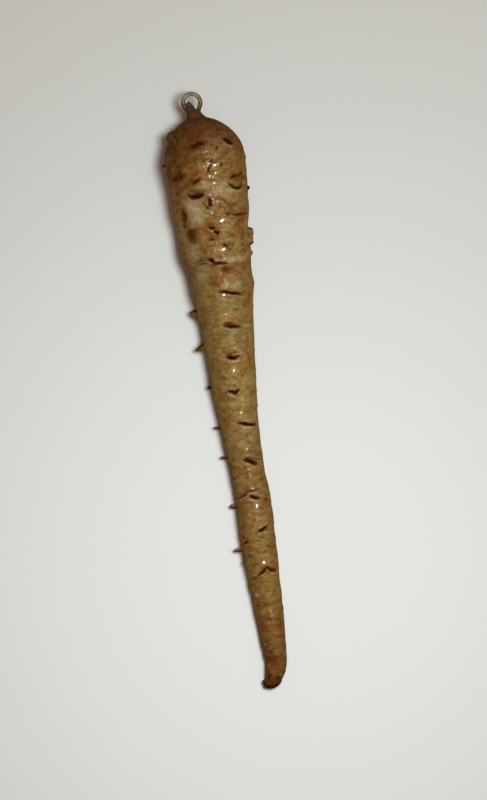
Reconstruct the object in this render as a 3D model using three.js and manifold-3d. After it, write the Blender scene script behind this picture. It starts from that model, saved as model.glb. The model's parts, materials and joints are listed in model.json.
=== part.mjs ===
// Horseradish root with a hanging eye: one dried and lacquered root that lies on its side,
// and a small eye of bent wire set in the neck of its crown.
//
// Millimetres, +Z up. The root lies along Y, with the crown towards +Y and the tip towards -Y.
// A place on the root is given by how far it is along the root, from the top of the neck (0)
// to the tip, and by how far it is across, towards +X. A turn is an angle round the root, in
// degrees from the top towards +X.
import * as THREE from 'three';
import { LoftGeometry } from 'three/addons/geometries/LoftGeometry.js';
import { mergeVertices } from 'three/addons/utils/BufferGeometryUtils.js';
import Module from 'manifold-3d';

// ---------------------------------------------------------------- driving dimensions

const ROOT_END = 230; // along, where the main root closes
const NECK_RADIUS = 2.9; // stub that the wire goes into
const NECK_END = 1.8; // along, where the neck meets the crown
const CROWN_LENGTH = 18.4; // from the neck to the thickest place
const CROWN_WIDEST = 20; // along, at the thickest place
const CROWN_RADIUS = 16.2;
const TIP_ROUND = 5; // length of the rounded end

// The middle and the full radius of the root, before its crown and tip are rounded off:
// [along, across, radius]
const GIRTH = [
  [0, -2.2, CROWN_RADIUS],
  [3, -1.5, CROWN_RADIUS],
  [9, -0.8, CROWN_RADIUS],
  [CROWN_WIDEST, -0.7, CROWN_RADIUS],
  [31, -0.7, 15.2],
  [40, -0.7, 14.5],
  [48, -0.9, 13.4],
  [56, -1.2, 13.5],
  [64, -0.9, 12.6],
  [72, -0.7, 12.1],
  [80, -0.6, 10.9],
  [89, -0.6, 9.9],
  [106, -1.4, 9.1],
  [119, -1.5, 8.0],
  [132, -1.3, 7.2],
  [142, -0.8, 6.8],
  [158, 0.0, 6.85],
  [170, -0.2, 6.9],
  [187, 0.0, 6.4],
  [200, 0.25, 5.7],
  [213, 0.3, 4.9],
  [222, 0.1, 4.2],
  [230, -2.0, 3.9],
];

// The root rests on a worn flat under the crown and a smaller one near the tip. Between
// them its underside bows up off the surface.
const FLAT_DEPTH = 0.45;
const BOW_HEIGHT = 0.9;
const BOW_START = 48;
const BOW_END = 214;

// Swellings on the outline: [along, across, radius]
const KNOBS = [
  [8.9, -12.5, 3.1], // bud on the shoulder
  [49.3, 11.6, 3.0], // two joined warts on the flank
  [52.9, 11.7, 2.8],
  [57.8, 11.0, 2.3],
  [229.1, -4.0, 2.7], // dried growing point, turned aside
];

// Stubs of cut rootlets: [along, turn, length, radius at the skin]
const ROOTLETS = [
  [19.5, -86, 0.7, 1.1],
  [31.6, 88, 0.9, 1.0],
  [79.2, -88, 3.3, 1.6],
  [91.5, -86, 3.0, 1.4],
  [109.0, -90, 2.9, 1.3],
  [125.0, -92, 2.6, 0.9],
  [137.6, -88, 2.4, 0.9],
  [157.4, -90, 2.6, 1.2],
  [174.9, -86, 3.4, 1.0],
  [66.0, 128, 2.2, 1.2],
  [118.0, 122, 2.0, 1.0],
  [150.0, 140, 1.8, 0.9],
];
const ROOTLET_LEAN = 20; // degrees towards the tip
const ROOTLET_TAPER = 0.45; // end radius over skin radius

// Scars where side roots were: [along, turn, width, slope in degrees]
const SCARS = [
  [12.2, 45, 5.0, -22],
  [27.5, -17, 4.8, 18],
  [32.6, -22, 6.8, 4],
  [29.6, 46, 6.2, -24],
  [60.0, -2, 9.0, 6],
  [72.7, 12, 9.0, -4],
  [85.4, 7, 6.6, 0],
  [97.8, 5, 6.6, 0],
  [112.0, -2, 5.0, 0],
  [125.6, 18, 6.8, -16],
  [140.7, 14, 5.0, -6],
  [168.2, 20, 4.8, 0],
  [185.5, 2, 5.6, 0],
  [22.0, 104, 6.4, 8],
  [44.0, -98, 6.6, -6],
  [53.0, 118, 6.8, 4],
  [83.0, 100, 5.8, -8],
  [101.0, -112, 5.6, 6],
  [134.0, 104, 4.6, 0],
  [163.0, -108, 4.4, 4],
];
const SCAR_DEPTH = 0.75;
const SCAR_ASPECT = 0.3; // length along the root over width

// Sections that the skin is lofted through
const SIDES = 28; // facets round the root
const DOME_STEPS = 11;
const BODY_STEP = 3.5;
const TIP_ANGLES = [25, 45, 60, 75, 86]; // degrees round the rounded end

// The eye: a ring of wire in a level plane, whose tail ends inside it over the rising strand
const WIRE_DIAMETER = 1.85;
const WIRE_SIDES = 10;
const WIRE_STEPS = 56;
const RING_ALONG = -4.8;
const RING_ACROSS = -3.04;
const RING_RADIUS = 3.4; // to the middle of the wire
const SHANK_OFFSET = -0.6; // of the shank from the middle of the ring
const SHANK_DEPTH = 15; // of the shank in the crown
const RISE_RADII = [3.95, 3.5]; // the wire leaves the neck a little outside the ring
const RISE_ANGLES = [-114, -142]; // degrees from +X
const TAIL_RADII = [3.4, 3.1, 2.6, 1.9, 1.6]; // the tail turns inwards
const TAIL_ANGLES = [-60, -85, -110, -150, -185];
const TAIL_LIFTS = [0.5, 1.1, 1.3, 1.3, 1.2]; // and up, to clear the rising strand
const FIT_GAP = 0.3; // between the wire and the root
const SOCKET_FLARE = 0.7; // the hole in the neck widens by this
const SOCKET_MOUTH = 1.2; // over this depth

// ---------------------------------------------------------------- helpers

const wasm = await Module();
wasm.setup();

const { cos, sin, sqrt, cbrt, min, max, PI } = Math;
const radians = THREE.MathUtils.degToRad;

/** A closed three.js geometry as a solid that can be joined and cut. */
function toSolid(geometry) {
  const bare = new THREE.BufferGeometry();
  bare.setAttribute('position', geometry.attributes.position);
  bare.setIndex(geometry.index);
  const merged = mergeVertices(bare, 1e-4);
  const corners = Array.from(merged.index.array);
  const whole = [];
  for (let i = 0; i < corners.length; i += 3) {
    const [a, b, c] = corners.slice(i, i + 3);
    if (a !== b && b !== c && c !== a) whole.push(a, b, c);
  }
  return new wasm.Manifold(new wasm.Mesh({
    numProp: 3,
    vertProperties: new Float32Array(merged.attributes.position.array),
    triVerts: new Uint32Array(whole),
  }));
}

/** A solid as a three.js geometry. */
function toGeometry(solid) {
  const mesh = solid.getMesh();
  const geometry = new THREE.BufferGeometry();
  geometry.setAttribute('position', new THREE.BufferAttribute(mesh.vertProperties, 3));
  geometry.setIndex(new THREE.BufferAttribute(mesh.triVerts, 1));
  geometry.computeVertexNormals();
  return geometry;
}

// ---------------------------------------------------------------- shape of the root

const girth = new THREE.CubicInterpolant(
  GIRTH.map(([along]) => along),
  GIRTH.flatMap(([, across, radius]) => [across, radius]),
  2,
);

/** How much of its full thickness the root has, as the crown and the tip round off. */
function fullness(along) {
  const up = max(0, (CROWN_WIDEST - along) / CROWN_LENGTH);
  const down = max(0, (along - ROOT_END + TIP_ROUND) / TIP_ROUND);
  return sqrt(max(0, 1 - up * up)) * sqrt(max(0, 1 - down * down));
}

/** The middle, radius and height of the root at a place along it. */
function sectionAt(along) {
  const [across, full] = girth.evaluate(along);
  const neck = along < CROWN_WIDEST ? NECK_RADIUS : 0;
  const radius = cbrt(neck ** 3 + (full * fullness(along)) ** 3);
  const bowed = min(1, max(0, (along - BOW_START) / (BOW_END - BOW_START)));
  const worn = FLAT_DEPTH * sqrt(full / CROWN_RADIUS);
  const height = full - worn + BOW_HEIGHT * sin(PI * bowed) ** 2;
  return { across, radius, height };
}

/** The ring of points round the root at a place along it, worn flat underneath. */
function ringAt(along) {
  const { across, radius, height } = sectionAt(along);
  return Array.from({ length: SIDES }, (_, i) => {
    const angle = (i / SIDES) * 2 * PI;
    const z = height + radius * sin(angle);
    return new THREE.Vector3(across + radius * cos(angle), -along, max(0, z));
  });
}

/** A place on the skin, or sunk below it: Z points outwards and Y up the root. */
function skinPlace(along, turn, sink = 0) {
  const { across, radius, height } = sectionAt(along);
  const outward = new THREE.Vector3(sin(radians(turn)), 0, cos(radians(turn)));
  const place = new THREE.Object3D();
  place.position.set(across, -along, height).addScaledVector(outward, radius - sink);
  place.rotation.y = radians(turn);
  place.updateMatrix();
  return place.matrix;
}

/** The root without its knobs, rootlets and scars, lofted from the neck to the tip. */
function rootBody() {
  const bodyEnd = ROOT_END - TIP_ROUND;
  const places = [0, NECK_END / 2, NECK_END];
  for (let i = 1; i <= DOME_STEPS; i += 1) {
    const angle = (i / DOME_STEPS) * (PI / 2);
    places.push(CROWN_WIDEST - (CROWN_WIDEST - NECK_END) * cos(angle));
  }
  const bodySteps = Math.round((bodyEnd - CROWN_WIDEST) / BODY_STEP);
  for (let i = 1; i <= bodySteps; i += 1) {
    places.push(THREE.MathUtils.lerp(CROWN_WIDEST, bodyEnd, i / bodySteps));
  }
  for (const angle of TIP_ANGLES) places.push(bodyEnd + TIP_ROUND * sin(radians(angle)));
  return toSolid(new LoftGeometry(places.map(ringAt), { capStart: true, capEnd: true }));
}

/** A swelling at the height of the root's middle, clear of the resting surface. */
function knob([along, across, radius]) {
  const { height } = sectionAt(min(along, BOW_END));
  const ball = new THREE.SphereGeometry(radius, 12, 8);
  ball.translate(across, -along, max(height, radius));
  return toSolid(ball);
}

/** The tapered stub of a rootlet, leaning towards the tip. */
function rootlet([along, turn, length, radius]) {
  const stub = new THREE.CylinderGeometry(radius * ROOTLET_TAPER, radius, length + radius, 8);
  stub.translate(0, (length + radius) / 2, 0);
  stub.rotateX(PI / 2 + radians(ROOTLET_LEAN));
  stub.applyMatrix4(skinPlace(along, turn, radius));
  return toSolid(stub);
}

/** The lens-shaped cutter of one scar. */
function scar([along, turn, width, slope]) {
  const cutter = new THREE.SphereGeometry(1, 10, 6);
  cutter.scale(width / 2, (width * SCAR_ASPECT) / 2, SCAR_DEPTH);
  cutter.rotateZ(radians(slope));
  cutter.applyMatrix4(skinPlace(along, turn));
  return toSolid(cutter);
}

/** The hole in the neck that the shank of the eye sits in. */
function socket() {
  const bottom = -SHANK_DEPTH - FIT_GAP;
  const hole = WIRE_DIAMETER / 2 + FIT_GAP;
  const mouth = hole + SOCKET_FLARE;
  const profile = [[0, bottom], [hole, bottom], [hole, -SOCKET_MOUTH], [mouth, 0], [mouth, 1], [0, 1]];
  const outline = profile.map(([radius, along]) => new THREE.Vector2(radius, along));
  const cutter = new THREE.LatheGeometry(outline, WIRE_SIDES);
  cutter.translate(RING_ACROSS + SHANK_OFFSET, 0, sectionAt(CROWN_WIDEST).height);
  return toSolid(cutter);
}

/** The whole root: one solid with its knobs and rootlets joined on and its scars cut in. */
function rootGeometry() {
  let solid = rootBody();
  for (const growth of [...KNOBS.map(knob), ...ROOTLETS.map(rootlet)]) solid = solid.add(growth);
  for (const cutter of [...SCARS.map(scar), socket()]) solid = solid.subtract(cutter);
  return toGeometry(solid);
}

// ---------------------------------------------------------------- the eye

/** The middle line of the wire, from the end of the shank, round the ring, to its tail. */
function eyePath() {
  const atAngle = (angle, radius, lift) => new THREE.Vector3(
    radius * cos(radians(angle)),
    radius * sin(radians(angle)),
    lift,
  );
  const shankPoint = (depth) => new THREE.Vector3(SHANK_OFFSET, RING_ALONG - depth, 0);
  const points = [SHANK_DEPTH, SHANK_DEPTH / 2, 2, 0].map(shankPoint);
  RISE_ANGLES.forEach((angle, i) => points.push(atAngle(angle, RISE_RADII[i], 0)));
  for (let angle = 180; angle >= -30; angle -= 30) points.push(atAngle(angle, RING_RADIUS, 0));
  TAIL_ANGLES.forEach((angle, i) => points.push(atAngle(angle, TAIL_RADII[i], TAIL_LIFTS[i])));
  return new THREE.CatmullRomCurve3(points, false, 'centripetal');
}

/** The wire, extruded along its middle line. */
function eyeGeometry() {
  const section = new THREE.Shape();
  section.absarc(0, 0, WIRE_DIAMETER / 2, 0, 2 * PI);
  const wire = new THREE.ExtrudeGeometry(section, {
    steps: WIRE_STEPS,
    curveSegments: WIRE_SIDES / 2, // of half a turn
    extrudePath: eyePath(),
    bevelEnabled: false,
  });
  wire.translate(RING_ACROSS, -RING_ALONG, sectionAt(CROWN_WIDEST).height);
  return toGeometry(toSolid(wire));
}

// ---------------------------------------------------------------- assembly

const rootSkin = new THREE.MeshStandardMaterial({ color: 0x8a6c3a, roughness: 0.35, metalness: 0 });
const eyeWire = new THREE.MeshStandardMaterial({ color: 0x8d8258, roughness: 0.35, metalness: 1 });

const root = new THREE.Mesh(rootGeometry(), rootSkin);
root.name = 'horseradish_root';

const eye = new THREE.Mesh(eyeGeometry(), eyeWire);
eye.name = 'hanging_eye';

const group = new THREE.Group();
group.add(root, eye);

// The origin is on the resting surface, under the middle of the whole object.
const box = new THREE.Box3().setFromObject(group);
const middle = box.getCenter(new THREE.Vector3());
group.position.set(-middle.x, -middle.y, 0);

export default group;
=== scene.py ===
"""A lacquered horseradish root with a bent-wire hanging eye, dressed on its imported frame.

Sizes on the root are in millimetres and become metres where a mesh is made. A place on the root
is given by how far it is along the root, from the top of its neck (0) to its tip, and by how far
it is across, towards +X, as the camera sees it from above. A turn is an angle round the root, from
its top towards +X. The size of a feature is given round the root first, then along it.
"""

from __future__ import annotations

import itertools
import json
import logging
import math
from dataclasses import dataclass
from enum import Enum
from typing import Iterable, Sequence

import bpy
import numpy as np
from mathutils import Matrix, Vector

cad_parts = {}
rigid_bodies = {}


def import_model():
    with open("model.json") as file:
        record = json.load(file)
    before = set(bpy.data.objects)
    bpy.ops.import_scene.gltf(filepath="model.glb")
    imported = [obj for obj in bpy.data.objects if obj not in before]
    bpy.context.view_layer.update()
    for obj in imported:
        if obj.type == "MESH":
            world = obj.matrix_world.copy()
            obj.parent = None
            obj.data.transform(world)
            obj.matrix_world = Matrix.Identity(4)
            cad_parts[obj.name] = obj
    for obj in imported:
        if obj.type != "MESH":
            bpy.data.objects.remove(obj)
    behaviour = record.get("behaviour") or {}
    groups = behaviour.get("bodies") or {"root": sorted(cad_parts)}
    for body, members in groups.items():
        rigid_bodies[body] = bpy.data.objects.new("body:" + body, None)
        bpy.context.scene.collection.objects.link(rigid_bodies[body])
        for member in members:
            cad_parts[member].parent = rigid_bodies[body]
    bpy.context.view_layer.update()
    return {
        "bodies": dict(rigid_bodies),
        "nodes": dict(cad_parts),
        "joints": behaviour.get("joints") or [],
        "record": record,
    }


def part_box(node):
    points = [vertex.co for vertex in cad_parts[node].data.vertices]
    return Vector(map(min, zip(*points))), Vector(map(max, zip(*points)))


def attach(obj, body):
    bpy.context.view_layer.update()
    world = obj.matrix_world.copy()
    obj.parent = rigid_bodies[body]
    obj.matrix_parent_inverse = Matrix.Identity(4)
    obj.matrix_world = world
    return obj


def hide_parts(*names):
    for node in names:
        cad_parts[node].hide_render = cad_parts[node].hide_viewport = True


LOG = logging.getLogger("horseradish")
Array = np.ndarray
Paint = tuple[int, int, int]
Tint = tuple[float, float, float]
Input = bpy.types.NodeSocket | float | Sequence[float]
MM = 0.001
UNCHANGED = (1.0, 1.0, 1.0, 1.0)

# The camera looks straight down on the root from over one place along it. Its height is measured
# from a level above the floor, where its scale is true.
CAMERA_ALONG = 115.7
CAMERA_HEIGHT = 3500.0
TRUE_LEVEL = 8.0


# ------------------------------------------------------------------------------ small helpers


def shade(red: int, green: int, blue: int) -> tuple[float, float, float, float]:
    """Turns a colour as a screen shows it into the linear colour that a shader takes.

    Args:
        red: Red from 0 to 255.
        green: Green from 0 to 255.
        blue: Blue from 0 to 255.

    Returns:
        The linear red, green and blue, and an alpha of 1.
    """
    linear = [((part / 255 + 0.055) / 1.055) ** 2.4 for part in (red, green, blue)]
    return (linear[0], linear[1], linear[2], 1.0)


def smooth_through(places: Array, values: Array, wanted: Array) -> Array:
    """Reads a smooth cubic curve that passes through the given values.

    Args:
        places: Where the values are, in rising order.
        values: The values at those places.
        wanted: Where the curve is read.

    Returns:
        The curve's value at each wanted place.
    """
    slopes = np.gradient(values, places)
    index = np.clip(np.searchsorted(places, wanted) - 1, 0, len(places) - 2)
    step = places[index + 1] - places[index]
    part = np.clip((wanted - places[index]) / step, 0, 1)
    rise = part * part * (3 - 2 * part)
    start = part * (1 - part) ** 2 * step * slopes[index]
    finish = part * part * (part - 1) * step * slopes[index + 1]
    return values[index] * (1 - rise) + values[index + 1] * rise + start + finish


def smooth_step(low: float, high: float, value: Array) -> Array:
    """Eases from 0 at low to 1 at high.

    Args:
        low: The value where the step starts.
        high: The value where it is complete. It may be under low, for a falling step.
        value: What is eased.

    Returns:
        The eased step, from 0 to 1.
    """
    part = np.clip((value - low) / (high - low), 0, 1)
    return part * part * (3 - 2 * part)


def lattice_noise(points: Array, seed: int) -> Array:
    """Smooth noise from -1 to 1 that is the same on every run.

    Args:
        points: Points in space, with their last axis of length 3. One cell of noise is 1 wide.
        seed: Which noise field is read.

    Returns:
        The noise at each point.
    """
    cell = np.floor(points).astype(np.int64)
    part = points - cell
    fade = part**3 * (part * (part * 6 - 15) + 10)
    total = np.zeros(points.shape[:-1])
    for corner in itertools.product((0, 1), repeat=3):
        weight = np.prod(np.where(np.array(corner, bool), fade, 1 - fade), axis=-1)
        key = (cell + corner) @ np.array([73856093, 19349663, 83492791]) + seed * 40503
        key = ((key ^ (key >> 13)) * 1274126177) & 0xFFFFFFFF
        key = key ^ (key >> 16)
        total += weight * ((key & 0xFFFF) / 32767.5 - 1)
    return total


def distance_to_line(x: Array, y: Array, line: Array) -> tuple[Array, Array, Array]:
    """Measures flat points against a line of straight stretches.

    Args:
        x: The points' first coordinate.
        y: The points' second coordinate.
        line: The line's corners, one row each.

    Returns:
        The distance to the line, how far along the line the nearest point is, from 0 to 1, and
        which side of the line the point is on, 1 to its left and -1 to its right.
    """
    lengths = np.hypot(*np.diff(line, axis=0).T)
    starts = np.concatenate([[0], np.cumsum(lengths)])
    distance = np.full(x.shape, np.inf)
    progress = np.zeros(x.shape)
    side = np.ones(x.shape)
    for (ax, ay), (bx, by), length, before in zip(line, line[1:], lengths, starts):
        dx, dy = (bx - ax) / length, (by - ay) / length
        reached = np.clip((x - ax) * dx + (y - ay) * dy, 0, length)
        gap = np.hypot(x - ax - reached * dx, y - ay - reached * dy)
        nearer = gap < distance
        distance = np.where(nearer, gap, distance)
        progress = np.where(nearer, (before + reached) / starts[-1], progress)
        turned = np.sign(dx * (y - ay) - dy * (x - ax))
        side = np.where(nearer, turned, side)
    return distance, progress, side


def mesh_piece(
    name: str,
    points: Array,
    faces: Sequence[Sequence[int]],
    kept: dict[Stain | Trait, Array] | None = None,
) -> bpy.types.Object:
    """Makes a smooth-shaded mesh object.

    Args:
        name: The object's name.
        points: Its corners, in metres.
        faces: Its faces, as lists of corner numbers.
        kept: Values from 0 to 1 at each corner, for its material to read.

    Returns:
        The new object, linked to the scene.
    """
    mesh = bpy.data.meshes.new(name)
    mesh.from_pydata(points.tolist(), [], faces)
    mesh.shade_smooth()
    for label, values in (kept or {}).items():
        attribute = mesh.attributes.new(label.value, "FLOAT", "POINT")
        attribute.data.foreach_set("value", np.ascontiguousarray(values, np.float32))
    mesh.validate()
    piece = bpy.data.objects.new(name, mesh)
    bpy.context.scene.collection.objects.link(piece)
    return piece


def tube_faces(rings: int, sides: int, first: int = 0) -> list[tuple[int, ...]]:
    """Joins rings of corners into a tube whose two ends are closed by fans.

    Args:
        rings: How many rings there are.
        sides: How many corners each ring has.
        first: The number of the first ring's first corner.

    Returns:
        The faces. The corners after the last ring are the middles of the first and the last end.
    """
    faces = []
    for ring, side in itertools.product(range(rings - 1), range(sides)):
        here = first + ring * sides
        ahead = (side + 1) % sides
        faces.append((here + side, here + ahead, here + sides + ahead, here + sides + side))
    start = first + rings * sides
    for side in range(sides):
        ahead = (side + 1) % sides
        faces.append((start, first + ahead, first + side))
        faces.append((start + 1, start - sides + side, start - sides + ahead))
    return faces


def sweep(
    path: Array, radii: Array, sides: int, upright: Sequence[float], flatness: float = 1.0
) -> tuple[Array, Array]:
    """Sweeps a ring of points along a line.

    Args:
        path: The points of the line.
        radii: The ring's radius at each of them.
        sides: How many points the ring has.
        upright: The direction that the ring's first point faces, as nearly as it can.
        flatness: How many times larger the ring is in that direction.

    Returns:
        The rings of points, and the way out from the line at each point.
    """
    ahead = np.gradient(path, axis=0)
    ahead /= np.linalg.norm(ahead, axis=1, keepdims=True)
    up = np.asarray(upright, float) - ahead * (ahead @ np.asarray(upright, float))[:, None]
    up /= np.linalg.norm(up, axis=1, keepdims=True)
    sideways = np.cross(ahead, up)
    angles = (np.arange(sides) / sides * 2 * np.pi)[None, :, None]
    outward = np.cos(angles) * up[:, None] * flatness + np.sin(angles) * sideways[:, None]
    return path[:, None] + np.asarray(radii, float)[:, None, None] * outward, outward


def line_through(corners: Sequence[Sequence[float]], count: int) -> Array:
    """Draws a smooth line through a few corners.

    Args:
        corners: The corners, with any number of values each.
        count: How many evenly spaced points the line gets.

    Returns:
        The points of the line.
    """
    corners = np.array(corners, float)
    lengths = np.linalg.norm(np.diff(corners[:, :3], axis=0), axis=1)
    walked = np.concatenate([[0], np.cumsum(lengths)])
    wanted = np.linspace(0, walked[-1], count)
    return np.stack([smooth_through(walked, column, wanted) for column in corners.T], axis=1)


# ------------------------------------------------------------------------------ finishes


class Stain(Enum):
    """What lies over the plain skin, kept as a value at each corner of the mesh."""

    # DARK holds real dark stains and also painted shade in slits and cracks, under the stubs and
    # along the wire's sides.
    DARK = "dark"
    # PALE holds real pale patches and also painted highlights on lips, drops and stub tops, and a
    # painted sheen.
    PALE = "pale"
    RED = "red"
    GREY = "grey"
    RUST = "rust"
    OLIVE = "olive"


class Trait(Enum):
    """What else is kept at each corner: its place along the root, and the lacquer on it, whose
    wetness also sets the painted sheen.
    """

    ALONG = "along"
    WET = "wet"
    SMEAR = "smear"


class Blend(Enum):
    """How a colour goes over the one below it."""

    MIX = "MIX"
    MULTIPLY = "MULTIPLY"


class NodeBench:
    """Adds and joins the nodes of one material."""

    def __init__(self, name: str) -> None:
        """Starts an empty material.

        Args:
            name: The material's name.
        """
        self.material = bpy.data.materials.new(name)
        self.material.use_nodes = True
        self.tree = self.material.node_tree
        self.tree.nodes.clear()
        self.place = self.tree.nodes.new("ShaderNodeTexCoord").outputs["Object"]

    def _add(self, kind: str, inputs: dict[str | int, Input], **settings: str) -> bpy.types.Node:
        """Adds a node.

        Args:
            kind: Its type.
            inputs: For each input its value, or the socket that feeds it.
            settings: Its other settings, by name.

        Returns:
            The node.
        """
        node = self.tree.nodes.new(kind)
        for name, setting in settings.items():
            setattr(node, name, setting)
        for name, value in inputs.items():
            if isinstance(value, bpy.types.NodeSocket):
                self.tree.links.new(value, node.inputs[name])
            else:
                node.inputs[name].default_value = value
        return node

    def kept(self, label: Stain | Trait) -> bpy.types.NodeSocket:
        """Reads a value that is kept at the mesh's corners."""
        return self._add("ShaderNodeAttribute", {}, attribute_name=label.value).outputs["Fac"]

    def noise(
        self,
        size: Sequence[float],
        detail: float = 3.0,
        roughness: float = 0.55,
        distortion: float = 0.0,
    ) -> bpy.types.NodeSocket:
        """Adds noise in the object's own space.

        Args:
            size: The size of one blot along X, Y and Z, in millimetres.
            detail: How many finer layers it has.
            roughness: How strong the finer layers are.
            distortion: How much it is warped.

        Returns:
            A value from 0 to 1.
        """
        scale = [1 / (part * MM) for part in size]
        stretch = self._add("ShaderNodeMapping", {"Vector": self.place, "Scale": scale})
        inputs = {
            "Vector": stretch.outputs["Vector"],
            "Scale": 1.0,
            "Detail": detail,
            "Roughness": roughness,
            "Distortion": distortion,
        }
        return self._add("ShaderNodeTexNoise", inputs).outputs["Fac"]

    def ramp(
        self,
        factor: bpy.types.NodeSocket,
        stops: Sequence[tuple[float, Sequence[float]]],
    ) -> bpy.types.NodeSocket:
        """Turns a value into a colour by way of a few stops.

        Args:
            factor: The value.
            stops: The places from 0 to 1, each with its colour.

        Returns:
            The colour.
        """
        node = self._add("ShaderNodeValToRGB", {"Fac": factor})
        band = node.color_ramp
        while len(band.elements) < len(stops):
            band.elements.new(0.5)
        for element, (position, _) in zip(band.elements, stops):
            element.position = position
        for element, (_, colour) in zip(band.elements, stops):
            element.color = colour
        return node.outputs["Color"]

    def steps(self, factor: bpy.types.NodeSocket, low: float, high: float) -> bpy.types.NodeSocket:
        """Spreads the values between low and high over 0 to 1, smoothly.

        Args:
            factor: The value.
            low: The value that becomes 0.
            high: The value that becomes 1.

        Returns:
            The spread value.
        """
        inputs = {"Value": factor, "From Min": low, "From Max": high}
        node = self._add("ShaderNodeMapRange", inputs, interpolation_type="SMOOTHSTEP")
        return node.outputs["Result"]

    def sum(
        self, terms: Sequence[tuple[bpy.types.NodeSocket, float]], offset: float = 0.0
    ) -> bpy.types.NodeSocket:
        """Adds values, each multiplied by its own weight.

        Args:
            terms: The values and their weights.
            offset: A number that is added once.

        Returns:
            The weighted sum.
        """
        total = offset
        for value, weight in terms:
            inputs = {0: value, 1: weight, 2: total}
            total = self._add("ShaderNodeMath", inputs, operation="MULTIPLY_ADD").outputs[0]
        return total

    def product(
        self, first: bpy.types.NodeSocket, second: bpy.types.NodeSocket
    ) -> bpy.types.NodeSocket:
        """Multiplies two values."""
        return self._add("ShaderNodeMath", {0: first, 1: second}, operation="MULTIPLY").outputs[0]

    def over(
        self,
        below: bpy.types.NodeSocket,
        colour: Input,
        amount: Input,
        blend: Blend = Blend.MIX,
    ) -> bpy.types.NodeSocket:
        """Lays one colour over another.

        Args:
            below: The colour underneath.
            colour: The colour on top.
            amount: How much of it shows, from 0 to 1.
            blend: How it goes over.

        Returns:
            The mixed colour.
        """
        settings = {"data_type": "RGBA", "blend_type": blend.value}
        node = self._add("ShaderNodeMix", {0: amount, 6: below, 7: colour}, **settings)
        return node.outputs[2]

    def relief(self, height: bpy.types.NodeSocket, depth: float) -> bpy.types.NodeSocket:
        """Turns a height from 0 to 1 into a bumpy normal.

        Args:
            height: The height.
            depth: How far 1 stands out, in millimetres.

        Returns:
            The normal.
        """
        inputs = {"Height": height, "Strength": 1.0, "Distance": depth * MM}
        return self._add("ShaderNodeBump", inputs).outputs["Normal"]

    def surface(
        self,
        colour: bpy.types.NodeSocket,
        roughness: bpy.types.NodeSocket,
        normal: bpy.types.NodeSocket,
        rest: dict[str, Input],
    ) -> bpy.types.Material:
        """Finishes the material with one shader.

        Args:
            colour: Its base colour.
            roughness: Its roughness.
            normal: Its normal.
            rest: The shader's other inputs: numbers where they are the same all over the surface.

        Returns:
            The finished material.
        """
        inputs = {"Base Color": colour, "Roughness": roughness, "Normal": normal}
        shader = self._add("ShaderNodeBsdfPrincipled", inputs | rest)
        self._add("ShaderNodeOutputMaterial", {"Surface": shader.outputs["BSDF"]})
        return self.material


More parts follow.
